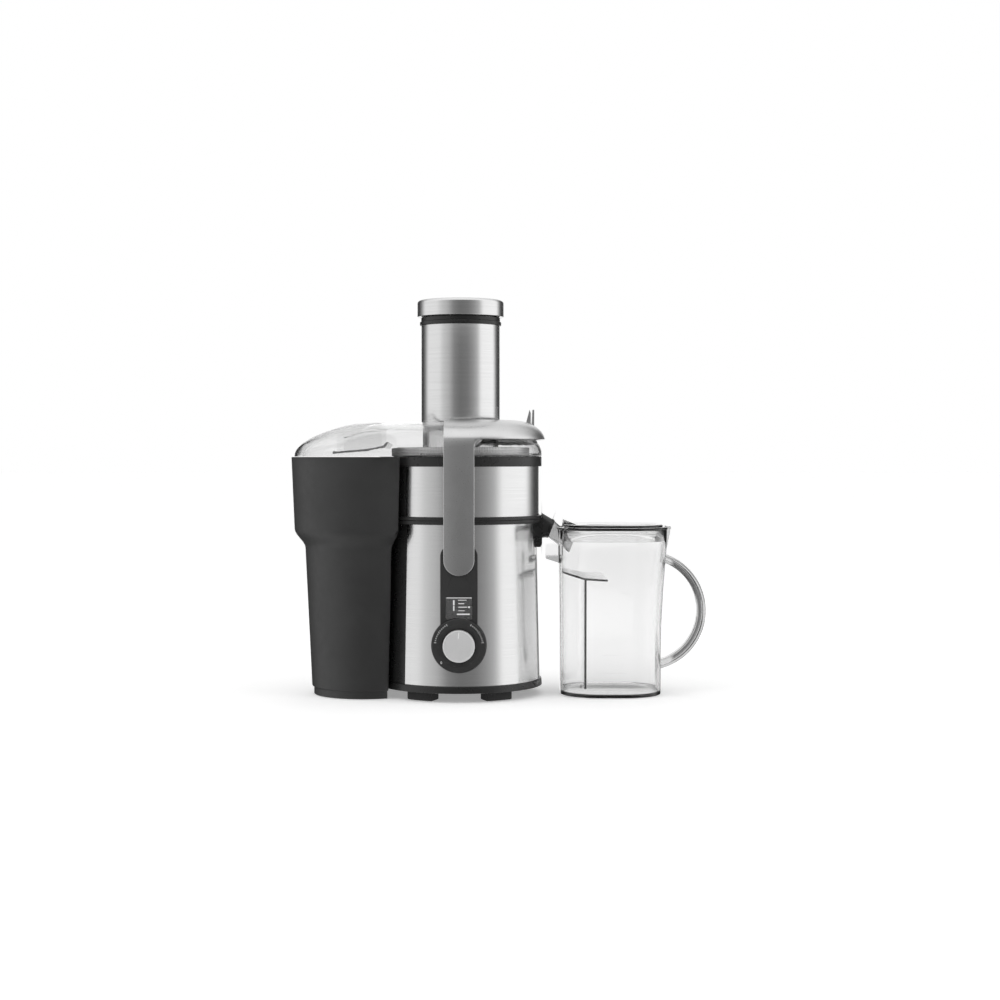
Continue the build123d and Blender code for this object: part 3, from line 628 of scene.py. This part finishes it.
def turned(name, outline, steps=144, middle=None, axis=(0, 0, 1), out=(1, 0, 0)):
    """A closed outline of (radius, distance along the axis) in mm, spun right round."""
    middle = middle or spot(0, 0, 0)
    along = Vector(axis)
    away = Vector(out)
    places = [middle + away * r * MM + along * t * MM for r, t in (*outline, outline[0])]
    piece = chain(name, places)
    bpy.ops.mesh.select_all(action="SELECT")
    bpy.ops.mesh.spin(steps=steps, angle=2 * pi, center=middle, axis=axis)
    close()
    return piece


def prism(name, outline, front, back):
    """A closed outline of (x, height) in mm, filled from the y of front to that of back."""
    places = [spot(x, front, z) for x, z in (*outline, outline[0])]
    piece = chain(name, places)
    merge()
    bpy.ops.mesh.edge_face_add()
    pull((0, (back - front) * MM, 0))
    close()
    return piece


def apply(piece, kind, **settings):
    """Add a modifier, set it, and apply it."""
    choose(piece)
    modifier = piece.modifiers.new("step", kind)
    for name, value in settings.items():
        setattr(modifier, name, value)
    bpy.ops.object.modifier_apply(modifier="step")


def combine(piece, tool, operation):
    """Add, cut or keep a tool's volume, and remove the tool."""
    apply(piece, "BOOLEAN", object=tool, operation=operation, solver="EXACT")
    bpy.data.objects.remove(tool, do_unlink=True)


def round_edges(piece, width, segments=2, angle=35):
    """Round every edge sharper than an angle."""
    apply(
        piece,
        "BEVEL",
        width=width * MM,
        segments=segments,
        limit_method="ANGLE",
        angle_limit=radians(angle),
        use_clamp_overlap=False,
    )


SMOOTH_ANGLE = 32  # edges flatter than this are shaded smooth


def hand_over(piece, body, slot, *nodes):
    """Smooth a finished piece, dress it, tie it to its body, and hide the CAD nodes it replaces."""
    choose(piece)
    bpy.ops.object.shade_smooth_by_angle(angle=radians(SMOOTH_ANGLE))
    piece.data.materials.clear()
    piece.data.materials.append(FINISHES[slot])
    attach(piece, body)
    if nodes:
        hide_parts(*nodes)
    print(piece.name, len(piece.data.polygons), "faces")


# %% [markdown]
# ## Pusher cap, collar and sleeve
# The cap is a pressed steel cup with a generous round at its top, the collar a glossy black
# ring, and the sleeve a rolled sheet with its lower edge turned in. All three are turned: half
# an outline, drawn once and spun.

# %% Cap, collar and sleeve
def corner(middle, radius, start, end, steps=6):
    """Points of a round corner in an outline, from one angle in degrees to another."""
    turns = [radians(start + (end - start) * step / steps) for step in range(steps + 1)]
    return [(middle[0] + radius * cos(t), middle[1] + radius * sin(t)) for t in turns]


low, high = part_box("pusher_cap")
CAP_R = (high[0] - low[0]) / 2 / MM
CAP_TOP = high[2] / MM
CAP_LOW = low[2] / MM
CAP_LIP_R = 41.4  # the lip grips the pusher's tube
CAP_SKIRT_R = 47.0  # inside of the skirt
CAP_SKIN = 2.5
cap = turned(
    "pusher_cap_cup",
    [
        (CAP_LIP_R, CAP_LOW + 2),
        (CAP_LIP_R, CAP_LOW),
        *corner((CAP_R - 0.7, CAP_LOW + 0.7), 0.7, -90, 0, 3),
        *corner((CAP_R - 3.6, CAP_TOP - 3.6), 3.6, 0, 82, 8),
        (41, CAP_TOP - 0.1),
        (0, CAP_TOP - 0.4),
        (0, CAP_TOP - CAP_SKIN),
        (CAP_SKIRT_R - 2.5, CAP_TOP - CAP_SKIN),
        (CAP_SKIRT_R, CAP_TOP - CAP_SKIN - 3),
        (CAP_SKIRT_R, CAP_LOW + 2),
    ],
)
hand_over(cap, "pusher", "brushed_steel", "pusher_cap")

low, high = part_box("feed_tube_collar")
COLLAR_R = (high[0] - low[0]) / 2 / MM
COLLAR_LOW = low[2] / MM
COLLAR_TOP = high[2] / MM
COLLAR_BORE_R = 43.7
collar = turned(
    "tube_collar",
    [
        (COLLAR_BORE_R, COLLAR_LOW),
        *corner((COLLAR_R - 0.6, COLLAR_LOW + 0.6), 0.6, -90, 0, 3),
        *corner((COLLAR_R - 0.6, COLLAR_LOW + 3.4), 0.6, 0, 90, 3),
        (COLLAR_R - 1.4, COLLAR_LOW + 4.4),
        (COLLAR_R - 1.4, COLLAR_TOP - 1),
        *corner((COLLAR_R - 2.2, COLLAR_TOP - 0.8), 0.8, 0, 90, 3),
        (COLLAR_BORE_R, COLLAR_TOP),
    ],
)
hand_over(collar, "base", "black_plastic", "feed_tube_collar")

low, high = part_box("feed_tube_sleeve")
SLEEVE_R = (high[0] - low[0]) / 2 / MM
SLEEVE_LOW = low[2] / MM
SLEEVE_TOP = high[2] / MM
SLEEVE_SKIN = 1.3
sleeve = turned(
    "tube_sleeve",
    [
        (SLEEVE_R - SLEEVE_SKIN, SLEEVE_LOW),
        *corner((SLEEVE_R - 0.5, SLEEVE_LOW + 0.5), 0.5, -90, 0, 3),
        (SLEEVE_R, SLEEVE_TOP - 60),
        *corner((SLEEVE_R - 0.4, SLEEVE_TOP - 0.4), 0.4, 0, 90, 3),
        (SLEEVE_R - SLEEVE_SKIN, SLEEVE_TOP),
    ],
)
hand_over(sleeve, "base", "brushed_steel", "feed_tube_sleeve")

# %% [markdown]
# ## Locking arm
# The arm is one steel pressing: a strap up the front, a saddle that wraps round the tube over
# the lid, and a strap down the back. It is made as a thin skin first: a strap with a round end,
# bent over along a quarter ellipse, its side edge spun round the tube, then given its
# thickness. Where the strap's side meets the saddle's skirt, the real corner is a fillet.

# %% Locking arm: sizes
low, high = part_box("locking_arm")
ARM_R = -low[1] / MM  # distance from the drive axis to the strap's outer face
ARM_HALF = 17.0
ARM_END = low[2] / MM
ARM_TOP = high[2] / MM
ARM_THICK = 3.2
BEND_START = 288.0
SADDLE_R = 52.0
BEND_STEPS = 12
FILLET = 9.0


def bend(share):
    """Distance from the drive axis and height, along the arm's bend."""
    turn = share * pi / 2
    out = SADDLE_R + (ARM_R - SADDLE_R) * cos(turn)
    return out, BEND_START + (ARM_TOP - BEND_START) * sin(turn)


SKIRT = bend(1 / BEND_STEPS)[1]
print("arm reaches", round(ARM_R, 1), "mm from the axis; skirt at", round(SKIRT, 1))


# %% Locking arm: front strap and bend
def strap(name, side):
    """A strap's skin, facing the front or the back, with its lower end rounded."""
    middle = spot(0, side * ARM_R, (ARM_END + SKIRT - FILLET) / 2)
    tall = (SKIRT - FILLET - ARM_END) * MM
    upright = (pi / 2, 0, 0)
    size = (2 * ARM_HALF * MM, tall, 1)
    piece = begin(name, bpy.ops.mesh.primitive_plane_add, middle, size, upright, size=1)
    pick(piece, lambda at: at.z < ARM_END * MM + MM)
    bpy.ops.mesh.bevel(offset=ARM_HALF * MM, segments=12, affect="VERTICES")
    pick(piece, lambda at: at.z > (SKIRT - FILLET) * MM - MM)
    pull((0, 0, FILLET * MM))
    return piece


arm = strap("locking_arm_pressing", -1)
bpy.ops.transform.translate(value=(0, (ARM_R - bend(1 / BEND_STEPS)[0]) * MM, 0))
for step in range(1, BEND_STEPS):
    here = bend(step / BEND_STEPS)
    there = bend((step + 1) / BEND_STEPS)
    pull((0, (here[0] - there[0]) * MM, (there[1] - here[1]) * MM))

# %% Locking arm: saddle
SPIN_STEPS = 48
SIDE_X = AXIS_X + ARM_HALF * MM
NARROWING = (ARM_R - ARM_HALF) / ARM_R
TINY = 0.00005


def on_side(at):
    """Whether a place is on the right edge of the bend."""
    return at.x > SIDE_X - TINY and at.z > SKIRT * MM - TINY


pick(arm, on_side)
bpy.ops.mesh.spin(steps=SPIN_STEPS, angle=-pi, center=(SIDE_X, 0, 0), axis=(0, 0, 1))
pick(arm, lambda at: at.x > SIDE_X + TINY)
bpy.ops.transform.resize(value=(NARROWING, 1, 1), center_override=(SIDE_X, 0, 0))
pick(arm, lambda at: on_side(at) and at.x < SIDE_X + TINY and at.y > 0)
pull((-2 * ARM_HALF * MM, 0, 0))

# %% Locking arm: back strap
bpy.ops.object.mode_set(mode="OBJECT")
back = strap("back_strap", 1)
bpy.ops.transform.translate(value=(0, (bend(1 / BEND_STEPS)[0] - ARM_R) * MM, 0))
bpy.ops.object.mode_set(mode="OBJECT")
choose(arm, back)
bpy.ops.object.join()


# %% Locking arm: fillets and thickness
FILLET_STEPS = 8
FAR_OUT = 0.08  # only the straps and the skirt beside them are so far from the middle
NEAR = 0.0003  # close enough to be the place that is looked for
JOIN = 0.0002  # close enough to be merged


def fillet(side):
    """Fill the corner between a strap's right edge and the skirt with a round."""
    shore = sorted(
        (vertex.co.copy() for vertex in arm.data.vertices
         if abs(vertex.co.z - SKIRT * MM) < TINY and vertex.co.y * side > 0
         and vertex.co.x > SIDE_X - TINY),
        key=lambda at: at.x,
    )
    end = next(at for at in shore if at.x > SIDE_X + FILLET * MM)
    reach = end.x - SIDE_X
    start = Vector((SIDE_X, side * ARM_R * MM, (SKIRT - FILLET) * MM))
    bpy.ops.object.mode_set(mode="EDIT")
    pick(arm, lambda at: (at - start).length < NEAR)
    last = start
    for step in range(1, FILLET_STEPS + 1):
        share = step / FILLET_STEPS
        turn = share * pi / 2
        x = SIDE_X + reach * (1 - cos(turn))
        y = start.y + (end.y - start.y) * share
        place = Vector((x, y, start.z + FILLET * MM * sin(turn)))
        bpy.ops.mesh.extrude_vertices_move(TRANSFORM_OT_translate={"value": place - last})
        last = place
    bpy.ops.mesh.select_all(action="SELECT")
    bpy.ops.mesh.remove_doubles(threshold=JOIN)
    low_x, high_x = SIDE_X - TINY, end.x + TINY
    pick(arm, lambda at: low_x < at.x < high_x and at.y * side > FAR_OUT
         and (SKIRT - FILLET) * MM - TINY < at.z < SKIRT * MM + TINY)
    bpy.ops.mesh.edge_face_add()
    bpy.ops.object.mode_set(mode="OBJECT")


fillet(-1)
fillet(1)
bpy.ops.object.mode_set(mode="EDIT")
close()
apply(arm, "SOLIDIFY", thickness=ARM_THICK * MM, offset=-1, use_even_offset=True)
round_edges(arm, 0.7, 3, 45)
hand_over(arm, "arm", "satin_metal", "locking_arm")

# %% [markdown]
# ## Pulp bin
# The bin is one deep moulding: a narrow lower body, a shoulder, and a wide upper body, hollowed
# on its right so that it hugs the base. An upright stack of ovals gives its outside and a
# cylinder cuts the hollow. A smaller body made the same way is then taken out of it, which
# leaves the wall and the floor. Its rim and upright edges are rounded as a moulding's are.

# %% Pulp bin: sizes
low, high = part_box("pulp_bin")
BIN_TOP = high[2] / MM
BIN_LEFT = (low[0] - AXIS_X) / MM
BIN_GAP_R = 98.0
BIN_WALL = 2.4
BIN_FLOOR = 10.5
GAP_MIDDLE_Z = 140.0
GAP_TALL = 400.0
# height, middle, half length and half depth, in mm
BIN_FOOT = (0.0, -108.4, 60.3, 62.3)
BIN_LOW = (9.2, -108.4, 62.5, 64.5)
BIN_WAIST = (167.0, -109.2, 69.1, 71.4)
BIN_SHOULDER = (189.0, -109.6, 81.0, 83.0)
BIN_RIM = (BIN_TOP, -110.0, -110.0 - BIN_LEFT, 86.0)


def between(first, second, share):
    """A row of sizes part of the way from one to another."""
    return tuple(a + (b - a) * share for a, b in zip(first, second))


def eased(share):
    """A share that starts and ends gently."""
    return share * share * (3 - 2 * share)


FOOT_TALL = 8.4
SHOULDER_STEPS = 8
bin_rings = [BIN_FOOT, (FOOT_TALL, *BIN_FOOT[1:]), BIN_LOW, between(BIN_LOW, BIN_WAIST, 0.5)]
for step in range(SHOULDER_STEPS + 1):
    share = step / SHOULDER_STEPS
    height = BIN_WAIST[0] + (BIN_SHOULDER[0] - BIN_WAIST[0]) * share
    bin_rings.append((height, *between(BIN_WAIST, BIN_SHOULDER, eased(share))[1:]))
bin_rings.append(between(BIN_SHOULDER, BIN_RIM, 0.5))
bin_rings.append(BIN_RIM)
print("bin:", len(bin_rings), "rings, top at", BIN_TOP)


# %% Pulp bin
def oval_stack(name, rings, sides=128):
    """A closed upright body: an oval pulled up from ring to ring."""
    height, middle, half_x, half_y = rings[0]
    piece = begin(name, bpy.ops.mesh.primitive_circle_add, spot(middle, 0, height),
                  (half_x * MM, half_y * MM, 1), vertices=sides, radius=1, fill_type="NGON")
    for here, there in zip(rings, rings[1:]):
        move = ((there[1] - here[1]) * MM, 0, (there[0] - here[0]) * MM)
        stretch = (there[2] / here[2], there[3] / here[3], 1)
        pull(move, stretch, spot(there[1], 0, there[0]))
    close()
    return piece


def hollowed(name, rings, gap_r):
    """A stack of ovals with its right side cut away by a cylinder round the drive axis."""
    piece = oval_stack(name, rings)
    gap = begin("gap", bpy.ops.mesh.primitive_cylinder_add, spot(0, 0, GAP_MIDDLE_Z), vertices=256,
                radius=gap_r * MM, depth=GAP_TALL * MM)
    bpy.ops.object.mode_set(mode="OBJECT")
    combine(piece, gap, "DIFFERENCE")
    return piece


space_rings = [(BIN_FLOOR, *BIN_LOW[1:]), *bin_rings[3:], (BIN_TOP + 1, *BIN_RIM[1:])]
space_rings = [(z, x, half_x - BIN_WALL, half_y - BIN_WALL) for z, x, half_x, half_y in space_rings]
pulp_bin = hollowed("pulp_bin_moulding", bin_rings, BIN_GAP_R)
combine(pulp_bin, hollowed("bin_space", space_rings, BIN_GAP_R + BIN_WALL), "DIFFERENCE")
round_edges(pulp_bin, 0.8, 3, 40)
hand_over(pulp_bin, "bin", "charcoal_plastic", "pulp_bin")

# %% [markdown]
# ## Dial
# The knob is an aluminium button with fine turned rings on its face: real rings, cut into the
# outline before it is spun, so that light fans across them. It stands in a charcoal bezel
# whose inside slopes to the knob. A thin white bar on the face is the pointer.

# %% Dial knob
low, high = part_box("dial_knob")
DIAL_Z = (low[2] + high[2]) / 2 / MM
KNOB_R = (high[2] - low[2]) / 2 / MM
KNOB_FRONT = -low[1] / MM
RING_STEP = 0.6
RING_DEPTH = 0.1
GROOVE_FRONT = KNOB_FRONT - 0.25
STEM_R = 2.9
STEM_BACK = 84.0
KNOB_BACK = 94.0

face = [(0, GROOVE_FRONT)]
radius = RING_STEP
while radius < KNOB_R - 1.6:
    face.append((radius, GROOVE_FRONT + (RING_DEPTH if len(face) % 2 else 0)))
    radius += RING_STEP
knob = turned(
    "dial_knob_button",
    [
        *face,
        (KNOB_R - 1.5, KNOB_FRONT - 0.1),
        (KNOB_R - 1.2, KNOB_FRONT),
        *corner((KNOB_R - 0.9, KNOB_FRONT - 0.9), 0.9, 80, 0, 4),
        (KNOB_R, KNOB_BACK + 2),
        (KNOB_R - 0.6, KNOB_BACK + 0.2),
        (STEM_R, KNOB_BACK),
        (STEM_R, STEM_BACK),
        (0, STEM_BACK),
    ],
    96,
    spot(0, 0, DIAL_Z),
    (0, -1, 0),
    (0, 0, 1),
)
hand_over(knob, "knob", "spun_metal", "dial_knob")

POINTER_LOW = DIAL_Z + 8.6
POINTER_HIGH = DIAL_Z + 15.4
POINTER_HALF = 0.6
POINTER_THICK = 0.4
pointer = prism(
    "dial_pointer",
    [
        (-POINTER_HALF, POINTER_LOW),
        (POINTER_HALF, POINTER_LOW),
        (POINTER_HALF, POINTER_HIGH),
        (-POINTER_HALF, POINTER_HIGH),
    ],
    -KNOB_FRONT,
    -KNOB_FRONT + POINTER_THICK,
)
round_edges(pointer, 0.15, 2)
hand_over(pointer, "knob", "white_mark", "dial_index")

# %% Dial bezel
low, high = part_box("dial_bezel")
BEZEL_R = (high[2] - low[2]) / 2 / MM
BEZEL_FRONT = -low[1] / MM
BEZEL_BACK = -high[1] / MM
BEZEL_LIP_R = 24.2  # the inside slopes down from here to the knob's edge
BEZEL_BORE_R = 18.5
bezel = turned(
    "dial_ring",
    [
        (BEZEL_R - 0.4, BEZEL_BACK),
        (BEZEL_R, BEZEL_BACK + 0.4),
        *corner((BEZEL_R - 1.1, BEZEL_FRONT - 1.1), 1.1, 0, 90, 5),
        *corner((BEZEL_LIP_R, BEZEL_FRONT - 0.6), 0.6, 90, 150, 3),
        (BEZEL_BORE_R + 0.4, BEZEL_FRONT - 2.6),
        (BEZEL_BORE_R, BEZEL_BACK + 0.1),
    ],
    128,
    spot(0, 0, DIAL_Z),
    (0, -1, 0),
    (0, 0, 1),
)
hand_over(bezel, "base", "charcoal_plastic", "dial_bezel")

# %% [markdown]
# ## Marks on the dial
# A row of short ticks runs up each side of the bezel, with a zero at its foot. Each mark is a
# real plate a tenth of a millimetre thick, so that it stays in the exported model.

# %% Dial ticks
MARK_DEPTH = 0.12
MARK_EDGE = 0.03
TICK_R = 26.4
TICK_WIDE = 0.5
TICK_FIRST = 8.0  # degrees above level, on either side
TICK_STEP = 5.2
TICKS = 11


def plate(name, x, z, wide, tall, front, lean=0.0):
    """A small upright plate in front of a face."""
    middle = spot(x, -front - MARK_DEPTH / 2, z)
    piece = begin(name, bpy.ops.mesh.primitive_cube_add, middle,
                  (wide * MM, MARK_DEPTH * MM, tall * MM), (0, lean, 0), size=1)
    bpy.ops.mesh.bevel(offset=MARK_EDGE * MM, segments=1)
    bpy.ops.object.mode_set(mode="OBJECT")
    return piece


def joined(name, parts):
    """Several pieces made one."""
    choose(*parts)
    bpy.ops.object.join()
    parts[0].name = name
    return parts[0]


ticks = []
for side in (-1, 1):
    for step in range(TICKS):
        turn = radians(TICK_FIRST + TICK_STEP * step)
        tall = 2.6 if step % 5 == 0 else 1.6
        x = side * TICK_R * cos(turn)
        z = DIAL_Z + TICK_R * sin(turn)
        ticks.append(plate("tick", x, z, TICK_WIDE, tall, BEZEL_FRONT, side * (pi / 2 - turn)))
ticks = joined("dial_ticks", ticks)
hand_over(ticks, "base", "white_mark")

# %% Dial zero
ZERO_SIZE = 4.2
ZERO_LEFT = 19.3
ZERO_DROP = 19.8
bpy.ops.object.select_all(action="DESELECT")
bpy.ops.object.text_add(location=(0, 0, 0))
zero = bpy.context.object
zero.data.body = "0"
zero.data.size = ZERO_SIZE * MM
zero.data.extrude = MARK_DEPTH * MM / 2
zero.data.align_x = "CENTER"
bpy.ops.object.convert(target="MESH")
zero = bpy.context.object
zero.name = "dial_zero"
zero.rotation_euler = (pi / 2, 0, 0)
zero.location = spot(-ZERO_LEFT, -BEZEL_FRONT - MARK_DEPTH / 2, DIAL_Z - ZERO_DROP)
bpy.ops.object.transform_apply(location=True, rotation=True, scale=True)
hand_over(zero, "base", "white_mark")

# %% [markdown]
# ## Control panel and display
# The panel is one charcoal plate with soft edges, let into the steel. The display lies flush in
# it behind its window. A bright line along the top is a painted highlight on the window's upper
# edge. The display's own marks are a large one made of two strokes and a list of bars with the
# last one lit.

# %% Control panel
soften("control_panel", 0.7)

# %% Display marks
low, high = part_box("display_window")
GLASS_FRONT = -low[1] / MM
GLASS_LEFT = (low[0] - AXIS_X) / MM
GLASS_TOP = high[2] / MM
# x and depth below the top of each mark's middle, its width and its height
DISPLAY_MARKS_AND_HIGHLIGHT = (
    # painted highlight: this first bar is the light on the window's upper edge, drawn as a white
    # plate
    (15.0, 0.9, 27.6, 0.8),
    (9.2, 6.2, 1.7, 5.6),
    (9.2, 12.4, 1.5, 5.4),
    (18.5, 3.4, 9.4, 0.7),
    (17.4, 7.2, 6.6, 1.0),
    (19.0, 11.1, 9.6, 1.0),
    (26.0, 11.1, 2.2, 1.8),
    (17.6, 15.0, 7.0, 0.7),
    (19.6, 18.9, 14.2, 1.5),
)
# the display's marks and the painted highlight along its top are all white plates
marks = []
for x, drop, wide, tall in DISPLAY_MARKS_AND_HIGHLIGHT:
    marks.append(plate("mark", GLASS_LEFT + x, GLASS_TOP - drop, wide, tall, GLASS_FRONT))
marks = joined("display_marks_and_highlight", marks)
hand_over(marks, "base", "white_mark")
print("display window front at", GLASS_FRONT)

# %% [markdown]
# ## Juice jug
# The jug is a clear moulding with a rounded-square plan that widens upwards, a thick floor, a
# notch for the juicer's spout with a lip below it, raised measuring lines, and a hooped
# handle. The body is a plate with round corners pulled up ring by ring, then down again inside.
# Handle and body are one moulding, so they are joined into one skin: two clear surfaces in
# the same place would show as a false wall.

# %% Juice jug: body
# height, left face, right face and half depth in mm
JUG_RINGS = (
    (0.0, 114.2, 229.4, 62.0),
    (78.0, 114.0, 229.9, 62.3),
    (122.0, 113.4, 232.2, 63.6),
    (165.0, 112.9, 235.6, 65.8),
    (188.0, 112.8, 236.2, 66.2),
)
JUG_Y = 6.0
JUG_WALL = 2.3
JUG_FLOOR = 4.0
JUG_CORNER = 46.0
FOOT_RIM = 6.0  # the floor's underside is raised inside a rim this wide
FOOT_RAISE = 1.2


def jug_ring(ring, inset):
    """Middle, length and depth of the jug's plan at one ring."""
    height, left, right, half = ring
    middle = spot((left + right) / 2, JUG_Y, height)
    return middle, right - left - 2 * inset, 2 * (half - inset)


def pull_rings(rings, inset):
    """Pull the selected plate through the rings, stretched to each one's size."""
    for here, there in zip(rings, rings[1:]):
        start, wide, deep = jug_ring(here, inset)
        end, next_wide, next_deep = jug_ring(there, inset)
        pull(end - start, (next_wide / wide, next_deep / deep, 1), end)


def jug_body(name):
    """The jug's outside as a closed body, open for more shaping, with its top selected."""
    middle, wide, deep = jug_ring(JUG_RINGS[0], 0)
    piece = begin(name, bpy.ops.mesh.primitive_plane_add, middle, (wide * MM, deep * MM, 1), size=1)
    bpy.ops.mesh.bevel(offset=JUG_CORNER * MM, segments=36, affect="VERTICES")
    pull_rings(JUG_RINGS, 0)
    return piece


outside = jug_body("jug_outside")
close()

jug = jug_body("juice_jug")
bpy.ops.mesh.inset(thickness=JUG_WALL * MM)
floor_ring = (JUG_FLOOR, *JUG_RINGS[0][1:])
pull_rings((*reversed(JUG_RINGS[1:]), floor_ring), JUG_WALL)
heal()
pick(jug, lambda at: at.z < TINY)
bpy.ops.mesh.inset(thickness=FOOT_RIM * MM)
bpy.ops.transform.translate(value=(0, 0, FOOT_RAISE * MM))
bpy.ops.object.mode_set(mode="OBJECT")
round_edges(jug, 1.0, 3, 50)
print("jug body", len(jug.data.polygons), "faces")

# %% Juice jug: lip, notch and rim rib
SHRINK = 0.96  # a body this much smaller keeps the lip out of the jug's inside
JUG_MIDDLE = spot(174.5, JUG_Y, 0)
lip = prism("lip", [(116, 149), (97.6, 155), (97.6, 171), (116, 171)], -16, 16)
inner = jug_body("inside")
bpy.ops.mesh.select_all(action="SELECT")
bpy.ops.transform.resize(value=(SHRINK, SHRINK, 1), center_override=JUG_MIDDLE)
close()
combine(lip, inner, "DIFFERENCE")
combine(jug, lip, "UNION")
notch = prism("notch", [(94, 157.5), (125, 157.5), (125, 200), (94, 200)], -14, 14)
combine(jug, notch, "DIFFERENCE")
rib = prism("rib", [(234.2, 160), (235.5, 160), (240.8, 185), (240.8, 187.9), (235, 187.9)], -3, 15)
combine(jug, rib, "UNION")

# %% Juice jug: handle
HANDLE_R = 64.0
HANDLE_START = 82.0  # degrees above level where the arc begins; it ends as far below
outwards = Vector((cos(radians(HANDLE_START)), 0, sin(radians(HANDLE_START))))
root = spot(HANDLE_X, JUG_Y, HANDLE_Z) + outwards * HANDLE_R * MM
# the bar's section: distance outwards and across, with a groove along each side face
BAR_OUTLINE = [
    *corner((2.6, 7.6), 2.3, 0, 90, 4),
    (1.9, 9.9),
    (1.2, 7.0),
    (-1.2, 7.0),
    (-1.9, 9.9),
    *corner((-2.6, 7.6), 2.3, 90, 180, 4),
    *corner((-2.6, -7.6), 2.3, 180, 270, 4),
    (-1.9, -9.9),
    (-1.2, -7.0),
    (1.2, -7.0),
    (1.9, -9.9),
    *corner((2.6, -7.6), 2.3, 270, 360, 4),
]
section = [root + outwards * r * MM + Vector((0, y * MM, 0)) for r, y in BAR_OUTLINE]
handle = chain("handle", [*section, section[0]])
merge()
bpy.ops.mesh.edge_face_add()
bpy.ops.mesh.spin(
    steps=56,
    angle=-radians(2 * HANDLE_START),
    center=spot(HANDLE_X, JUG_Y, HANDLE_Z),
    axis=(0, 1, 0),
)
close()
print("handle reaches x", round(max(v.co.x for v in handle.data.vertices), 4))
combine(handle, outside, "DIFFERENCE")
combine(jug, handle, "UNION")

# %% Juice jug: measuring lines
# height and half length in mm
LINES = ((118, 17), (96, 12), (73, 17), (49, 12), (28, 17))
LINE_MIDDLE = 171.5
LINE_HALF_TALL = 0.5
LINE_THICK = 0.3
LINE_LIFT = 0.02
LINE_START_Y = -62.0  # a line starts just in front of the wall and is pulled on to it
lines = []
for height, half in LINES:
    start = spot(LINE_MIDDLE, LINE_START_Y, height)
    size = (half * MM, LINE_HALF_TALL * MM, 1)
    line = begin("line", bpy.ops.mesh.primitive_grid_add, start, size, (pi / 2, 0, 0),
                 x_subdivisions=16, y_subdivisions=1, size=2)
    bpy.ops.object.mode_set(mode="OBJECT")
    apply(line, "SHRINKWRAP", target=jug, wrap_method="NEAREST_SURFACEPOINT",
          offset=LINE_LIFT * MM)
    apply(line, "SOLIDIFY", thickness=LINE_THICK * MM, offset=1)
    lines.append(line)
lines = joined("jug_lines", lines)
bpy.ops.object.mode_set(mode="EDIT")
close()
hand_over(lines, "jug", "clear_plastic")
hand_over(jug, "jug", "clear_plastic", "jug", "jug_handle")

# %% [markdown]
# ## Jug lid
# The lid is a clear tray with a raised middle, a skirt that drops inside the jug, a tab over the
# rim rib to lift it by, and a hood over the spout's notch. The tray is pulled up from one plate,
# the tab and hood are joined on, and the space under the hood is cut last.

# %% Jug lid
low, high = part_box("jug_lid")
LID_FOOT = low[2] / MM
LID_BASE = 188.2
LID_LEDGE = 191.2
LID_CROWN = 193.8
LID_OVER = 0.6  # how far the lid reaches past the rim
LID_CORNER = 49.6
LID_STEP = 5.6
SKIRT_GAP = 1.6
SKIRT_WALL = 1.8
LID_SKIN = 0.4  # how far the inside rises above the rim's level
HOOD_HALF = 16.5
HOOD_SPACE_HALF = 14.4
RIM = JUG_RINGS[-1]
middle, wide, deep = jug_ring((LID_BASE, *RIM[1:]), -LID_OVER)
jug_lid = begin("jug_lid_tray", bpy.ops.mesh.primitive_plane_add, middle,
                (wide * MM, deep * MM, 1), size=1)
bpy.ops.mesh.bevel(offset=LID_CORNER * MM, segments=20, affect="VERTICES")
pull((0, 0, (LID_LEDGE - LID_BASE) * MM))
bpy.ops.mesh.inset(thickness=LID_STEP * MM)
pull((0, 0, (LID_CROWN - LID_LEDGE) * MM))
pick(jug_lid, lambda at: abs(at.z - LID_BASE * MM) < TINY)
bpy.ops.mesh.inset(thickness=(JUG_WALL + SKIRT_GAP) * MM)
pull((0, 0, (LID_FOOT - LID_BASE) * MM))
bpy.ops.mesh.inset(thickness=SKIRT_WALL * MM)
pull((0, 0, (LID_BASE - LID_FOOT + LID_SKIN) * MM))
close()
tab_size = (11.2 * MM, 26 * MM, 2.9 * MM)
tab = begin("tab", bpy.ops.mesh.primitive_cube_add, spot(235.7, JUG_Y, 189.7), tab_size, size=1)
bpy.ops.object.mode_set(mode="OBJECT")
combine(jug_lid, tab, "UNION")
hood_outline = [(117.5, 189), (117.5, 199.7), (133, 193.6), (133, 189)]
hood = prism("hood", hood_outline, -HOOD_HALF, HOOD_HALF)
combine(jug_lid, hood, "UNION")
hood_space = prism(
    "hood_space",
    [(100, 170), (100, 204.7), (117.5, 197.6), (131.6, 192), (131.6, 170)],
    -HOOD_SPACE_HALF,
    HOOD_SPACE_HALF,
)
combine(jug_lid, hood_space, "DIFFERENCE")
round_edges(jug_lid, 0.4, 2, 50)
hand_over(jug_lid, "jug_lid", "clear_plastic", "jug_lid")
